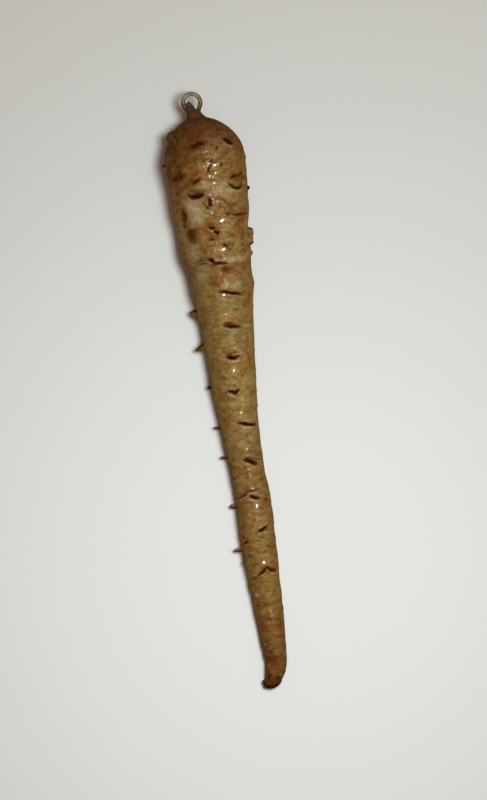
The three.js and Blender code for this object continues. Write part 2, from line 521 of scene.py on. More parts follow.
@dataclass(frozen=True)
class LacqueredSkin:
    """Dried root skin under a thin, uneven lacquer, with a painted sheen, painted shade and painted
    highlights in its colour.
    """

    tones: tuple[tuple[float, Paint], ...] = (
        (0.00, (96, 68, 40)),
        (0.05, (118, 82, 44)),
        (0.10, (140, 104, 54)),
        (0.20, (150, 120, 66)),
        (0.27, (138, 108, 58)),
        (0.35, (142, 114, 62)),
        (0.50, (142, 116, 64)),
        (0.65, (130, 100, 54)),
        (0.80, (132, 100, 50)),
        (0.90, (122, 90, 46)),
        (1.00, (106, 71, 34)),
    )
    rust: Tint = (0.92, 0.6, 0.38)
    umber: Tint = (0.62, 0.48, 0.38)
    olive: Tint = (0.98, 1.17, 1.25)
    # Painted sheen: how much paler and bluer the wet top of the skin is made.
    painted_sheen_tint: Tint = (1.14, 1.2, 1.3)
    # Painted shade and highlight: the tints of the grain's hollows and of its raised spots.
    hollow: Tint = (0.7, 0.58, 0.48)
    raised: Tint = (1.24, 1.36, 1.5)
    mossy: Tint = (0.96, 1.01, 0.82)
    rosy: Tint = (1.12, 0.96, 1.16)
    # How the dark stain tints the skin, for real stains and for painted shade alike.
    dark_tint: Tint = (0.45, 0.3, 0.2)
    dark: Paint = (34, 18, 9)
    pale: Paint = (184, 165, 124)
    red: Paint = (104, 50, 18)
    grey: Paint = (152, 142, 106)
    patchiness: float = 0.5
    placed_strength: float = 0.9
    relief_depth: float = 0.8
    roughness: float = 0.5
    gloss: float = 0.5

    def material(self) -> bpy.types.Material:
        """Builds the material.

        Returns:
            The material of the root and its rootlets.
        """
        bench = NodeBench("lacquered_skin")
        clouds = bench.noise((9, 6, 9), detail=4, distortion=0.8)
        patches = bench.noise((8, 5, 8), detail=4, distortion=0.5)
        drifts = bench.noise((6, 3.6, 6.5), detail=4, distortion=1.0)
        mottle = bench.noise((2.6, 1.7, 2.6), detail=3, distortion=0.4)
        tints = bench.noise((2.4, 1.5, 2.2), detail=4, roughness=0.65, distortion=0.5)
        streaks = bench.noise((4, 0.5, 4), detail=3)
        wrinkles = bench.noise((1.2, 0.9, 1.2), detail=3)
        specks = bench.noise((0.5, 0.45, 0.5), detail=2)
        droplets = bench.noise((1.5, 1.1, 1.5), detail=3)
        dark = bench.kept(Stain.DARK)

        stops = [(place, shade(*tone)) for place, tone in self.tones]
        colour = bench.ramp(bench.kept(Trait.ALONG), stops)
        layers = (
            (clouds, self.rust, bench.kept(Stain.RUST)),
            (drifts, self.umber, dark),
            (patches, self.olive, bench.kept(Stain.OLIVE)),
        )
        for noise, tone, placed in layers:
            natural = bench.steps(noise, 0.48, 0.64)
            amount = bench.sum([(natural, self.patchiness), (placed, self.placed_strength)])
            colour = bench.over(colour, (*tone, 1.0), amount, Blend.MULTIPLY)
        wet = bench.kept(Trait.WET)
        # Painted sheen: where the lacquer is wet, mostly along the top, the skin is made paler in
        # blotches.
        worn = bench.product(bench.steps(mottle, 0.3, 0.6), bench.steps(wet, 0.0, 0.1))
        colour = bench.over(colour, (*self.painted_sheen_tint, 1.0), worn, Blend.MULTIPLY)
        paints = ((Stain.PALE, self.pale), (Stain.GREY, self.grey), (Stain.RED, self.red))
        for stain, paint in paints:
            colour = bench.over(colour, shade(*paint), bench.kept(stain))
        # Painted shade and highlight: the grain shares most of its noise with the bump, so its
        # hollows are darkened and its raised spots made paler.
        grain = bench.sum([(mottle, 0.65), (streaks, 0.15), (specks, 0.2)])
        shading = [(0.3, (*self.hollow, 1.0)), (0.5, UNCHANGED), (0.7, (*self.raised, 1.0))]
        colour = bench.over(colour, bench.ramp(grain, shading), 1.0, Blend.MULTIPLY)
        blush = [(0.32, (*self.mossy, 1.0)), (0.5, UNCHANGED), (0.68, (*self.rosy, 1.0))]
        colour = bench.over(colour, bench.ramp(tints, blush), 1.0, Blend.MULTIPLY)
        # The dark stain, which holds real stains and painted shade in slits, cracks and under
        # stubs, tints the skin and then blackens it.
        colour = bench.over(colour, (*self.dark_tint, 1.0), dark, Blend.MULTIPLY)
        colour = bench.over(colour, shade(*self.dark), bench.product(dark, dark))

        rough = bench.sum([(mottle, 0.4), (wrinkles, 0.4), (streaks, 0.1), (specks, 0.1)])
        drops = bench.steps(wet, 0.35, 0.9)
        height = bench.product(rough, bench.sum([(drops, -0.8)], offset=1.0))
        beads = bench.product(bench.steps(droplets, 0.5, 0.6), wet)
        clean = bench.sum([(dark, -1.0)], offset=1.0)
        pools = bench.product(drops, drops)
        gloss = bench.product(bench.sum([(beads, 0.9 * self.gloss), (pools, self.gloss)]), clean)
        return bench.surface(
            colour,
            bench.sum([(streaks, 0.2)], offset=self.roughness - 0.1),
            bench.relief(height, self.relief_depth),
            {
                "Metallic": 0.1,
                "Specular IOR Level": 0.0,
                "Coat Roughness": 0.2,
                "Coat IOR": 2.4,
                "Coat Weight": gloss,
            },
        )


@dataclass(frozen=True)
class TarnishedWire:
    """Drawn wire, dull where it is tarnished, brown where lacquer has run over it, and darkened
    along its sides as painted shade.
    """

    bright: Paint = (156, 144, 108)
    tarnish: Paint = (98, 80, 48)
    lacquer: Paint = (80, 48, 20)
    # The colour of the painted shade on the wire's sides and of the black edge beside its tail.
    shade_and_stain: Paint = (46, 28, 16)
    relief_depth: float = 0.05

    def material(self) -> bpy.types.Material:
        """Builds the material.

        Returns:
            The material of the hanging eye.
        """
        bench = NodeBench("tarnished_wire")
        clouds = bench.noise((1.6, 1.6, 1.6), detail=4)
        specks = bench.noise((0.3, 0.3, 0.3), detail=3)
        colour = bench.ramp(
            bench.sum([(clouds, 0.8), (specks, 0.2)]),
            [(0.38, shade(*self.tarnish)), (0.62, shade(*self.bright))],
        )
        colour = bench.over(colour, shade(*self.lacquer), bench.kept(Trait.SMEAR))
        # Painted shade on the wire's sides, and the black edge of its tail, come from the dark
        # value.
        colour = bench.over(colour, shade(*self.shade_and_stain), bench.kept(Stain.DARK))
        roughness = bench.sum([(clouds, 0.3), (specks, 0.1)], offset=0.3)
        return bench.surface(
            colour,
            roughness,
            bench.relief(bench.sum([(clouds, 0.6), (specks, 0.4)]), self.relief_depth),
            {"Metallic": 0.1, "Specular IOR Level": 0.2, "Coat Weight": 0.1, "Coat Roughness": 0.2},
        )


@dataclass(frozen=True)
class PlainPaper:
    """Matt white paper."""

    white: Paint = (231, 230, 226)
    between: Paint = (226, 225, 221)
    relief_depth: float = 0.03

    def material(self) -> bpy.types.Material:
        """Builds the material.

        Returns:
            The material of the floor.
        """
        bench = NodeBench("plain_paper")
        fibre = bench.noise((1.2, 0.8, 1.2), detail=4)
        base = bench.ramp(fibre, [(0.0, shade(*self.between)), (1.0, shade(*self.white))])
        roughness = bench.sum([(fibre, 0.1)], offset=0.75)
        return bench.surface(base, roughness, bench.relief(fibre, self.relief_depth), {})


# ------------------------------------------------------------------------------ the root's form


@dataclass(frozen=True)
class Spot:
    """A place on the skin: how far along, in millimetres, and its turn, in radians."""

    along: float
    turn: float


@dataclass(frozen=True)
class RootForm:
    """The plain shape of the root: its middle line, its girth and its worn underside.

    Each row of girth gives a place along the root, how far across its middle is, and its radius.
    """

    end: float = 230.0
    neck_top: float = -2.0
    neck_radius: float = 2.7
    neck_flare: float = 1.15
    flare_length: float = 3.4
    flare_curve: float = 2.5
    crown_length: float = 18.4
    crown_widest: float = 20.0
    crown_radius: float = 16.2
    tip_round: float = 5.0
    flat_depth: float = 0.45
    bow_height: float = 0.9
    bow_start: float = 48.0
    bow_end: float = 214.0
    girth: tuple[tuple[float, float, float], ...] = (
        (-2, -2.75, 16.2),
        (0, -2.5, 16.2),
        (3, -1.6, 16.2),
        (9, -0.8, 16.2),
        (20, -0.7, 16.2),
        (31, -0.7, 15.2),
        (40, -0.7, 14.5),
        (48, -0.9, 13.4),
        (56, -1.2, 13.5),
        (64, -0.9, 12.6),
        (72, -0.7, 12.1),
        (80, -0.6, 10.9),
        (89, -0.6, 9.9),
        (106, -1.4, 9.1),
        (119, -1.5, 8.0),
        (132, -1.3, 7.2),
        (142, -0.8, 6.8),
        (158, 0.0, 6.85),
        (170, -0.2, 6.9),
        (187, 0.0, 6.4),
        (200, 0.25, 5.7),
        (213, 0.3, 4.9),
        (222, 0.1, 4.2),
        (230, -2.0, 3.9),
    )

    def middle(self, along: Array) -> Array:
        """Where the middle of the root is, across, at each place along it."""
        places, across, _ = np.array(self.girth, float).T
        return smooth_through(places, across, np.asarray(along, float))

    def full_radius(self, along: Array) -> Array:
        """The radius before the crown and the tip are rounded off."""
        places, _, radius = np.array(self.girth, float).T
        return smooth_through(places, radius, np.asarray(along, float))

    def radius(self, along: Array) -> Array:
        """The radius of the root at each place along it.

        Args:
            along: The places.

        Returns:
            The radius, which falls to nothing at the top of the neck and at the tip.
        """
        along = np.asarray(along, float)
        up = np.clip((self.crown_widest - along) / self.crown_length, 0, 1)
        down = np.clip((along - self.end + self.tip_round) / self.tip_round, 0, 1)
        body = self.full_radius(along) * np.sqrt((1 - up**2) * (1 - down**2))
        flare = np.clip((along - self.neck_top) / self.flare_length, 0, 1) ** self.flare_curve
        closing = np.clip((along / self.neck_top - 0.5) * 2, 0, 1)
        neck = (self.neck_radius + self.neck_flare * flare) * np.sqrt(1 - closing**2)
        return np.cbrt(np.where(along < self.crown_widest, neck, 0) ** 3 + body**3)

    def height(self, along: Array) -> Array:
        """The height of the root's middle above the surface it lies on.

        Args:
            along: The places along the root.

        Returns:
            The height at each place.
        """
        full = self.full_radius(along)
        bowed = np.clip((along - self.bow_start) / (self.bow_end - self.bow_start), 0, 1)
        worn = self.flat_depth * np.sqrt(full / self.crown_radius)
        return full - worn + self.bow_height * np.sin(np.pi * bowed) ** 2

    def seen(self, along: float, across: float, turned: float = 0.0) -> Spot:
        """Finds the place on the skin that the camera sees at a point.

        Args:
            along: How far along the point seems to be.
            across: How far across it is.
            turned: Degrees that it is then turned round the root.

        Returns:
            The place on the skin.
        """
        lean = (across - float(self.middle(along))) / float(self.radius(along))
        turn = math.asin(max(-0.999, min(0.999, lean)))
        level = float(self.height(along)) + float(self.radius(along)) * math.cos(turn)
        nearer = (CAMERA_ALONG - along) * (level - TRUE_LEVEL) / CAMERA_HEIGHT
        return Spot(along + nearer, turn + math.radians(turned))


class Noise(Enum):
    """The noises of the skin: the size of one blot round the root and along it, and the seed."""

    LUMPS = ((14, 9), 1)
    RINGS = ((7, 4.2), 2)
    RIPPLES = ((3.2, 2.2), 3)
    WRINKLES = ((1.7, 1.1), 4)
    WANDER = ((2.6, 2.2), 21)
    JITTER = ((0.9, 0.8), 22)
    PINCH = ((1.7, 1.7), 23)
    RAGGED = ((2.6, 2.0), 31)
    FRAYED = ((1.0, 0.8), 32)
    FOLDS = ((1.9, 1.5), 41)
    TEARS = ((2.6, 1.3), 42)
    BORDER = ((3.0, 2.4), 43)


class SkinGrid:
    """The skin as rings of points, with heights and stains that features add to it."""

    measuring_steps: int = 6000

    def __init__(self, form: RootForm, rings: int, sides: int, crowding: float) -> None:
        """Lays out the rings.

        Args:
            form: The shape of the root.
            rings: How many rings there are from the neck to the tip.
            sides: How many points each ring has.
            crowding: How much closer together they are on top than at the side, from 0 to 1.
        """
        self.form = form
        self.along = self._ring_places(rings)
        spread = np.pi - np.arange(sides) / sides * 2 * np.pi
        self.turn = spread - crowding * np.sin(spread)
        self.radius = form.radius(self.along)
        round_x, round_z = np.sin(self.turn), np.cos(self.turn)
        middle, height = form.middle(self.along), form.height(self.along)
        self.points = np.empty((rings, sides, 3))
        self.points[..., 0] = middle[:, None] + self.radius[:, None] * round_x
        self.points[..., 1] = -self.along[:, None]
        self.points[..., 2] = height[:, None] + self.radius[:, None] * round_z
        self.outward = self._outward()
        self.raised = np.zeros((rings, sides))
        self.wetted = np.zeros((rings, sides))
        self.stains = {stain: np.zeros((rings, sides)) for stain in Stain}
        self.noises: dict[Noise, Array] = {}

    def _ring_places(self, rings: int) -> Array:
        """Spaces the rings evenly over the skin, from the neck to the tip.

        Args:
            rings: How many there are.

        Returns:
            How far along each ring is.
        """
        fine = (1 - np.cos(np.linspace(0, np.pi, self.measuring_steps))) / 2
        places = self.form.neck_top + fine * (self.form.end - self.form.neck_top)
        radius = self.form.radius(places)
        walked = np.concatenate([[0], np.cumsum(np.hypot(np.diff(places), np.diff(radius)))])
        wanted = np.linspace(0, walked[-1], rings + 2)[1:-1]
        return np.interp(wanted, walked, places)

    def _outward(self) -> Array:
        """Finds which way the plain skin faces.

        Returns:
            The outward direction at each point.
        """
        down = np.gradient(self.points, axis=0)
        wrapped = np.concatenate([self.points[:, -1:], self.points, self.points[:, :1]], axis=1)
        round_it = wrapped[:, 2:] - wrapped[:, :-2]
        outward = np.cross(down, round_it)
        from_middle = self.points - self.points.mean(1, keepdims=True)
        outward *= np.sign((outward * from_middle).sum(-1))[..., None]
        return outward / np.linalg.norm(outward, axis=-1, keepdims=True)

    def rows(self, low: float, high: float) -> slice:
        """The rings between two places along the root."""
        return slice(*np.searchsorted(self.along, (low, high)))

    def flat(self, rows: slice, spot: Spot) -> tuple[Array, Array]:
        """Unrolls part of the skin about one place.

        Args:
            rows: The rings that are unrolled.
            spot: The place that becomes the origin.

        Returns:
            How far each point is round the skin from there, and how far up the root.
        """
        away = (self.turn - spot.turn + np.pi) % (2 * np.pi) - np.pi
        girth = np.maximum(self.radius[rows], 0.5 * float(self.form.radius(spot.along)))
        x = girth[:, None] * away[None, :]
        y = np.broadcast_to((spot.along - self.along[rows])[:, None], x.shape)
        return x, y

    def around(
        self, along: float, across: float, turned: float, reach: float
    ) -> tuple[Spot, slice, Array, Array]:
        """Unrolls the skin round a place that the camera sees.

        Args:
            along: How far along the place seems to be.
            across: How far across it is.
            turned: Degrees that it is then turned round the root.
            reach: How far along the root the part goes, to each side.

        Returns:
            The place on the skin, the rings of the part, and how far each of its points is round
            the skin and up the root from the place.
        """
        spot = self.form.seen(along, across, turned)
        rows = self.rows(spot.along - reach, spot.along + reach)
        return (spot, rows, *self.flat(rows, spot))

    def stain(self, stain: Stain, rows: slice, amount: Array) -> None:
        """Lays a stain over part of the skin, without going past 1."""
        kept = self.stains[stain][rows]
        kept += (1 - kept) * np.clip(amount, 0, 1)

    def noise(self, kind: Noise) -> Array:
        """Reads noise all over the skin.

        Args:
            kind: Which noise it is.

        Returns:
            Noise from -1 to 1 at each point.
        """
        if kind not in self.noises:
            (wide, long), seed = kind.value
            self.noises[kind] = lattice_noise(self.points / (wide, long, wide), seed)
        return self.noises[kind]

    def finished(self) -> Array:
        """Raises and carves the skin.

        Returns:
            Its points, none of them below the floor.
        """
        points = self.points + self.outward * self.raised[..., None]
        points[..., 2] = np.maximum(points[..., 2], 0)
        return points


# ------------------------------------------------------------------------------ features


@dataclass(frozen=True)
class Slit:
    """A slit or crease where a side root was, with swollen lips on both sides, painted shade in and
    above it, and a painted highlight on its lower lip.
    """

    line: tuple[tuple[float, float], ...]
    width: float = 0.9
    depth: float = 0.9
    lip_above: float = 0.12
    lip_below: float = 0.22
    stain: float = 1.0
    soak_and_shade: float = 0.35
    turned: float = 0.0

    def apply(self, grid: SkinGrid) -> None:
        """Carves the slit.

        Args:
            grid: The skin it is carved into.
        """
        spots = [grid.form.seen(along, across, self.turned) for along, across in self.line]
        origin = spots[len(spots) // 2]
        places = [spot.along for spot in spots]
        rows = grid.rows(min(places) - 5, max(places) + 5)
        x, y = grid.flat(rows, origin)
        girth = float(grid.form.radius(origin.along))
        line = np.array(
            [(girth * (spot.turn - origin.turn), origin.along - spot.along) for spot in spots]
        )
        wander = 0.3 * grid.noise(Noise.WANDER)[rows] + 0.1 * grid.noise(Noise.JITTER)[rows]
        distance, progress, side = distance_to_line(x, y + wander, line)
        taper = np.sqrt(np.clip(4 * progress * (1 - progress), 0, 1))
        uneven = 1 + 0.3 * grid.noise(Noise.PINCH)[rows]
        half = self.width / 2 * (0.4 + 0.6 * taper) * uneven
        shape = 0.25 + 0.75 * taper
        grid.raised[rows] -= self.depth * shape * np.exp(-((distance / half) ** 2) * 0.9)
        lip = np.where(side > 0, self.lip_above, self.lip_below)
        edge = (distance - 1.8 * half) / (0.9 * half + 0.3)
        grid.raised[rows] += lip * shape * np.exp(-(edge**2))
        # The dark core is dark scar tissue and painted shade in the crease.
        dark_core = np.exp(-((distance / (1.1 * half)) ** 3))
        grid.stain(Stain.DARK, rows, self.stain * shape * dark_core)
        # Painted highlight: a pale rim along the lower lip.
        painted_lip_highlight = np.exp(-(((distance - 1.9 * half) / 0.35) ** 2)) * taper * (side < 0)
        grid.stain(Stain.PALE, rows, 0.55 * painted_lip_highlight * min(1.0, self.lip_below / 0.25))
        # The red halo is soaked stain all round, and stronger on the upper side as painted shade.
        halo = np.exp(-((distance / (half + 1.1)) ** 2)) * (0.6 + 0.4 * (side > 0))
        grid.stain(Stain.RED, rows, self.soak_and_shade * shape * halo)


@dataclass(frozen=True)
class Swelling:
    """A rounded rise in the skin, or a hollow where its height is negative."""

    along: float
    across: float
    size: tuple[float, float]
    height: float
    turned: float = 0.0
    sharpness: float = 1.0

    def apply(self, grid: SkinGrid) -> None:
        """Raises the skin.

        Args:
            grid: The skin it raises.
        """
        reach = self.size[1] * 3
        _, rows, x, y = grid.around(self.along, self.across, self.turned, reach)
        away = ((x / self.size[0]) ** 2 + (y / self.size[1]) ** 2) ** self.sharpness
        grid.raised[rows] += self.height * np.exp(-away)


@dataclass(frozen=True)
class Blotch:
    """A patch of another colour with a ragged edge."""

    stain: Stain
    along: float
    across: float
    size: tuple[float, float]
    strength: float = 0.8
    turned: float = 0.0
    slope: float = 0.0

    def apply(self, grid: SkinGrid) -> None:
        """Stains the skin.

        Args:
            grid: The skin it stains.
        """
        reach = max(self.size) * 1.8
        _, rows, x, y = grid.around(self.along, self.across, self.turned, reach)
        lean = math.radians(self.slope)
        along_it = x * math.cos(lean) + y * math.sin(lean)
        over_it = y * math.cos(lean) - x * math.sin(lean)
        away = np.hypot(along_it / self.size[0], over_it / self.size[1])
        ragged = 0.4 * grid.noise(Noise.RAGGED)[rows]
        ragged = ragged + 0.25 * grid.noise(Noise.FRAYED)[rows]
        grid.stain(self.stain, rows, self.strength * smooth_step(1.5, 0.2, away + ragged))


@dataclass(frozen=True)
class Freckles:
    """Specks of another colour, scattered all round the root."""

    stain: Stain
    count: int
    start: float
    end: float
    strength: float
    seed: int
    smallest: float = 0.3
    largest: float = 0.8

    def apply(self, grid: SkinGrid) -> None:
        """Scatters the specks.

        Args:
            grid: The skin they are on.
        """
        draw = np.random.default_rng(self.seed)
        for _ in range(self.count):
            along = draw.uniform(self.start, self.end)
            turned = draw.uniform(-180.0, 180.0)
            size = draw.uniform(self.smallest, self.largest)
            middle = float(grid.form.middle(along))
            speck = Blotch(self.stain, along, middle, (size, size), self.strength, turned)
            speck.apply(grid)


@dataclass(frozen=True)
class Crumple:
    """A patch where the lacquer has dried in fine folds and cracks, whose cracks are stained dark
    and hold painted shade.
    """

    along: float
    across: float
    size: tuple[float, float]
    height: float = 0.22
    cracks: float = 0.6
    turned: float = 0.0

    def apply(self, grid: SkinGrid) -> None:
        """Folds the skin.

        Args:
            grid: The skin it folds.
        """
        reach = self.size[1] * 1.5
        _, rows, x, y = grid.around(self.along, self.across, self.turned, reach)
        ragged = 0.3 * grid.noise(Noise.BORDER)[rows]
        inside = smooth_step(1.2, 0.4, np.hypot(x / self.size[0], y / self.size[1]) + ragged)
        folds = grid.noise(Noise.FOLDS)[rows]
        ridges = 1 - np.clip(np.abs(folds) / 0.3, 0, 1)
        grid.raised[rows] += self.height * inside * (ridges - 0.35)
        torn = np.abs(grid.noise(Noise.TEARS)[rows])
        # The carved cracks are stained dark: dark crack lines with painted shade in them.
        grid.stain(Stain.DARK, rows, self.cracks * inside * smooth_step(0.07, 0.0, torn))
        grid.raised[rows] -= 0.8 * self.height * inside * smooth_step(0.09, 0.0, torn)


@dataclass(frozen=True)
class Facet:
    """A smooth drop of lacquer that has dried flat, facing the light."""

    along: float
    across: float
    size: float
    wet: float = 1.0
    facing: tuple[float, float, float] = (0.0955, 0.05, 0.994)

    def apply(self, grid: SkinGrid) -> None:
        """Tilts a small part of the skin, wets it and paints a pale highlight round it.

        Args:
            grid: The skin it lies on.
        """
        spot, rows, x, y = grid.around(self.along, self.across, 0.0, 4 * self.size)
        ring = np.argmin(np.abs(grid.along - spot.along))
        side = np.argmin(np.abs(grid.turn - spot.turn))
        lack = np.array(self.facing) - grid.outward[ring, side]
        tilt = lack[0] * math.cos(spot.turn) - lack[2] * math.sin(spot.turn)
        away = np.hypot(x, y) * (1 + 0.5 * grid.noise(Noise.FRAYED)[rows])
        inside = np.exp(-((away / self.size) ** 4))
        flat = grid.raised[ring, side] - tilt * x - lack[1] * y
        grid.raised[rows] += (flat - grid.raised[rows]) * inside
        grid.wetted[rows] = np.maximum(grid.wetted[rows], self.wet * inside)
        # Painted highlight: a pale halo round the drop's glint.
        halo = np.exp(-((away / (1.2 * self.size)) ** 2))
        grid.stain(Stain.PALE, rows, 0.9 * self.wet * halo)


Feature = Slit | Swelling | Blotch | Freckles | Crumple | Facet


def blotches(stain: Stain, *rows: tuple[float, float, float, float, float]) -> tuple[Blotch, ...]:
    """Makes patches of one colour.

    Args:
        stain: Their colour.
        rows: For each patch how far along and across it is, its width, its length and its strength.

    Returns:
        The patches.
    """
    return tuple(
        Blotch(stain, along, across, (width, length), strength)
        for along, across, width, length, strength in rows
    )


CLOUDS: tuple[Feature, ...] = (
    *blotches(
        Stain.RUST,
        (8.0, -2.0, 6.0, 3.5, 0.7),
        (11.5, -8.0, 4.5, 3.0, 0.7),
        (18.0, -11.5, 3.0, 5.0, 0.8),
        (24.5, 10.5, 4.0, 2.8, 0.7),
        (21.5, -6.5, 3.5, 4.0, 0.6),
        (40.0, -12.2, 1.8, 4.6, 0.9),
        (44.2, -1.8, 2.4, 2.2, 0.9),
        (47.6, -10.4, 2.8, 3.0, 0.9),
        (47.5, 9.4, 3.6, 4.4, 0.8),
        (58.8, -7.2, 2.8, 0.9, 0.8),
        (62.4, 1.6, 2.8, 2.2, 1.0),
        (67.6, -3.8, 2.2, 1.6, 0.9),
        (62.8, 8.0, 2.4, 2.6, 0.7),
        (77.6, 8.4, 2.4, 3.6, 0.8),
        (85.2, 0.0, 4.2, 1.8, 0.3),
        (94.6, 5.6, 1.8, 2.8, 0.8),
        (101.5, -5.0, 3.5, 2.0, 1.0),
        (114.0, -6.0, 3.5, 2.0, 1.0),
        (123.4, -6.4, 2.6, 2.8, 1.0),
        (144.6, -1.0, 4.2, 2.2, 0.8),
        (142.6, -7.4, 1.4, 2.6, 0.8),
        (157.2, 4.4, 2.2, 2.2, 0.9),
        (159.6, -4.6, 2.4, 4.4, 0.7),
        (168.0, 2.0, 1.8, 2.0, 0.7),
        (205.0, 3.4, 1.4, 3.4, 0.8),
        (204.0, -3.4, 1.2, 16.0, 0.6),
        (221.4, -1.2, 2.0, 2.6, 1.0),
        (49.0, 9.0, 4.0, 3.5, 0.8),
        (49.0, -3.0, 3.5, 3.0, 0.9),
        (55.5, -6.0, 2.0, 4.0, 0.6),
        (66.0, -1.5, 3.0, 5.0, 0.8),
        (101.0, 4.0, 4.0, 3.0, 0.8),
        (23.0, 1.0, 3.4, 4.0, 0.5),
        (40.5, 0.6, 3.2, 4.0, 0.6),
        (15.0, -3.0, 6.0, 4.0, 0.5),
        (50.0, 1.0, 3.0, 4.0, 0.4),
        (4.0, 4.0, 3.4, 5.0, 0.6),
        (207.0, -2.0, 2.0, 7.0, 0.5),
    ),
    *blotches(
        Stain.DARK,
        (20.0, -12.5, 2.5, 6.0, 0.3),
        (17.0, -10.0, 7.0, 10.0, 0.09),
        (12.4, -5.2, 3.0, 1.3, 0.4),
        (42.0, -12.0, 1.4, 5.0, 0.15),
        (23.0, 1.0, 3.4, 4.0, 0.08),
        (40.5, 0.6, 3.2, 4.0, 0.1),
        (48.6, 14.6, 1.4, 1.4, 0.5),
        (53.2, 14.2, 1.4, 1.4, 0.5),
        (50.0, 0.0, 3.4, 3.6, 0.1),
        (7.2, -14.8, 1.6, 1.4, 0.35),
        (219.6, -1.2, 1.6, 3.4, 0.1),
        (13.0, -14.0, 7.0, 4.0, 0.1),
        (22.0, -14.6, 8.0, 3.4, 0.1),
    ),
    *blotches(
        Stain.OLIVE,
        (14.5, -12.5, 1.8, 2.0, 0.6),
        (16.5, 9.0, 3.6, 4.0, 0.7),
        (21.5, 0.0, 3.5, 4.0, 0.4),
        (37.0, 8.5, 4.2, 3.4, 0.7),
        (46.5, 4.0, 2.6, 3.0, 0.5),
        (50.5, -4.6, 3.0, 1.6, 0.8),
        (53.6, -9.8, 2.6, 2.6, 0.9),
        (63.6, -9.2, 3.6, 4.0, 1.0),
        (59.6, 6.2, 5.5, 1.2, 0.9),
        (69.3, 7.6, 5.0, 1.1, 0.8),
        (73.0, 6.0, 2.2, 1.4, 0.7),
        (77.4, 1.6, 3.2, 3.4, 0.5),
        (75.0, -8.4, 3.0, 6.0, 0.6),
        (89.0, 1.4, 3.4, 2.6, 0.7),
        (106.0, -2.0, 2.4, 3.2, 0.7),
        (120.0, -5.0, 4.4, 1.4, 1.0),
        (132.0, 0.5, 3.6, 4.4, 0.4),
        (150.0, -1.0, 4.6, 1.8, 0.6),
        (164.8, 3.6, 1.4, 1.3, 0.9),
        (170.8, 1.4, 2.0, 0.9, 0.9),
        (178.0, -1.0, 3.8, 3.8, 0.6),
        (188.0, 0.0, 4.0, 0.8, 0.8),
        (50.6, 12.6, 1.6, 2.0, 0.8),
    ),
    # Painted sheen: a pale patch on the crown's top where the lacquer shines.
    *blotches(Stain.PALE, (14.0, 2.5, 5.0, 4.5, 0.15)),
    *blotches(
        Stain.RED,
        (27.5, -13.5, 2.0, 2.5, 0.4),
        (13.0, -14.0, 6.0, 4.0, 0.2),
        (24.0, -14.6, 7.0, 3.4, 0.3),
        (5.0, -4.0, 3.4, 5.0, 0.2),
    ),
    *blotches(Stain.GREY, (44.0, -14.0, 1.5, 10.0, 0.4), (56.0, -12.0, 2.0, 4.0, 0.5)),
    Freckles(Stain.DARK, 260, 1.0, 60.0, 0.45, seed=3),
    Freckles(Stain.RED, 160, 1.0, 120.0, 0.5, seed=4),
    Freckles(Stain.PALE, 160, 6.0, 228.0, 0.35, seed=5),
    Freckles(Stain.DARK, 140, 60.0, 228.0, 0.35, seed=6),
)

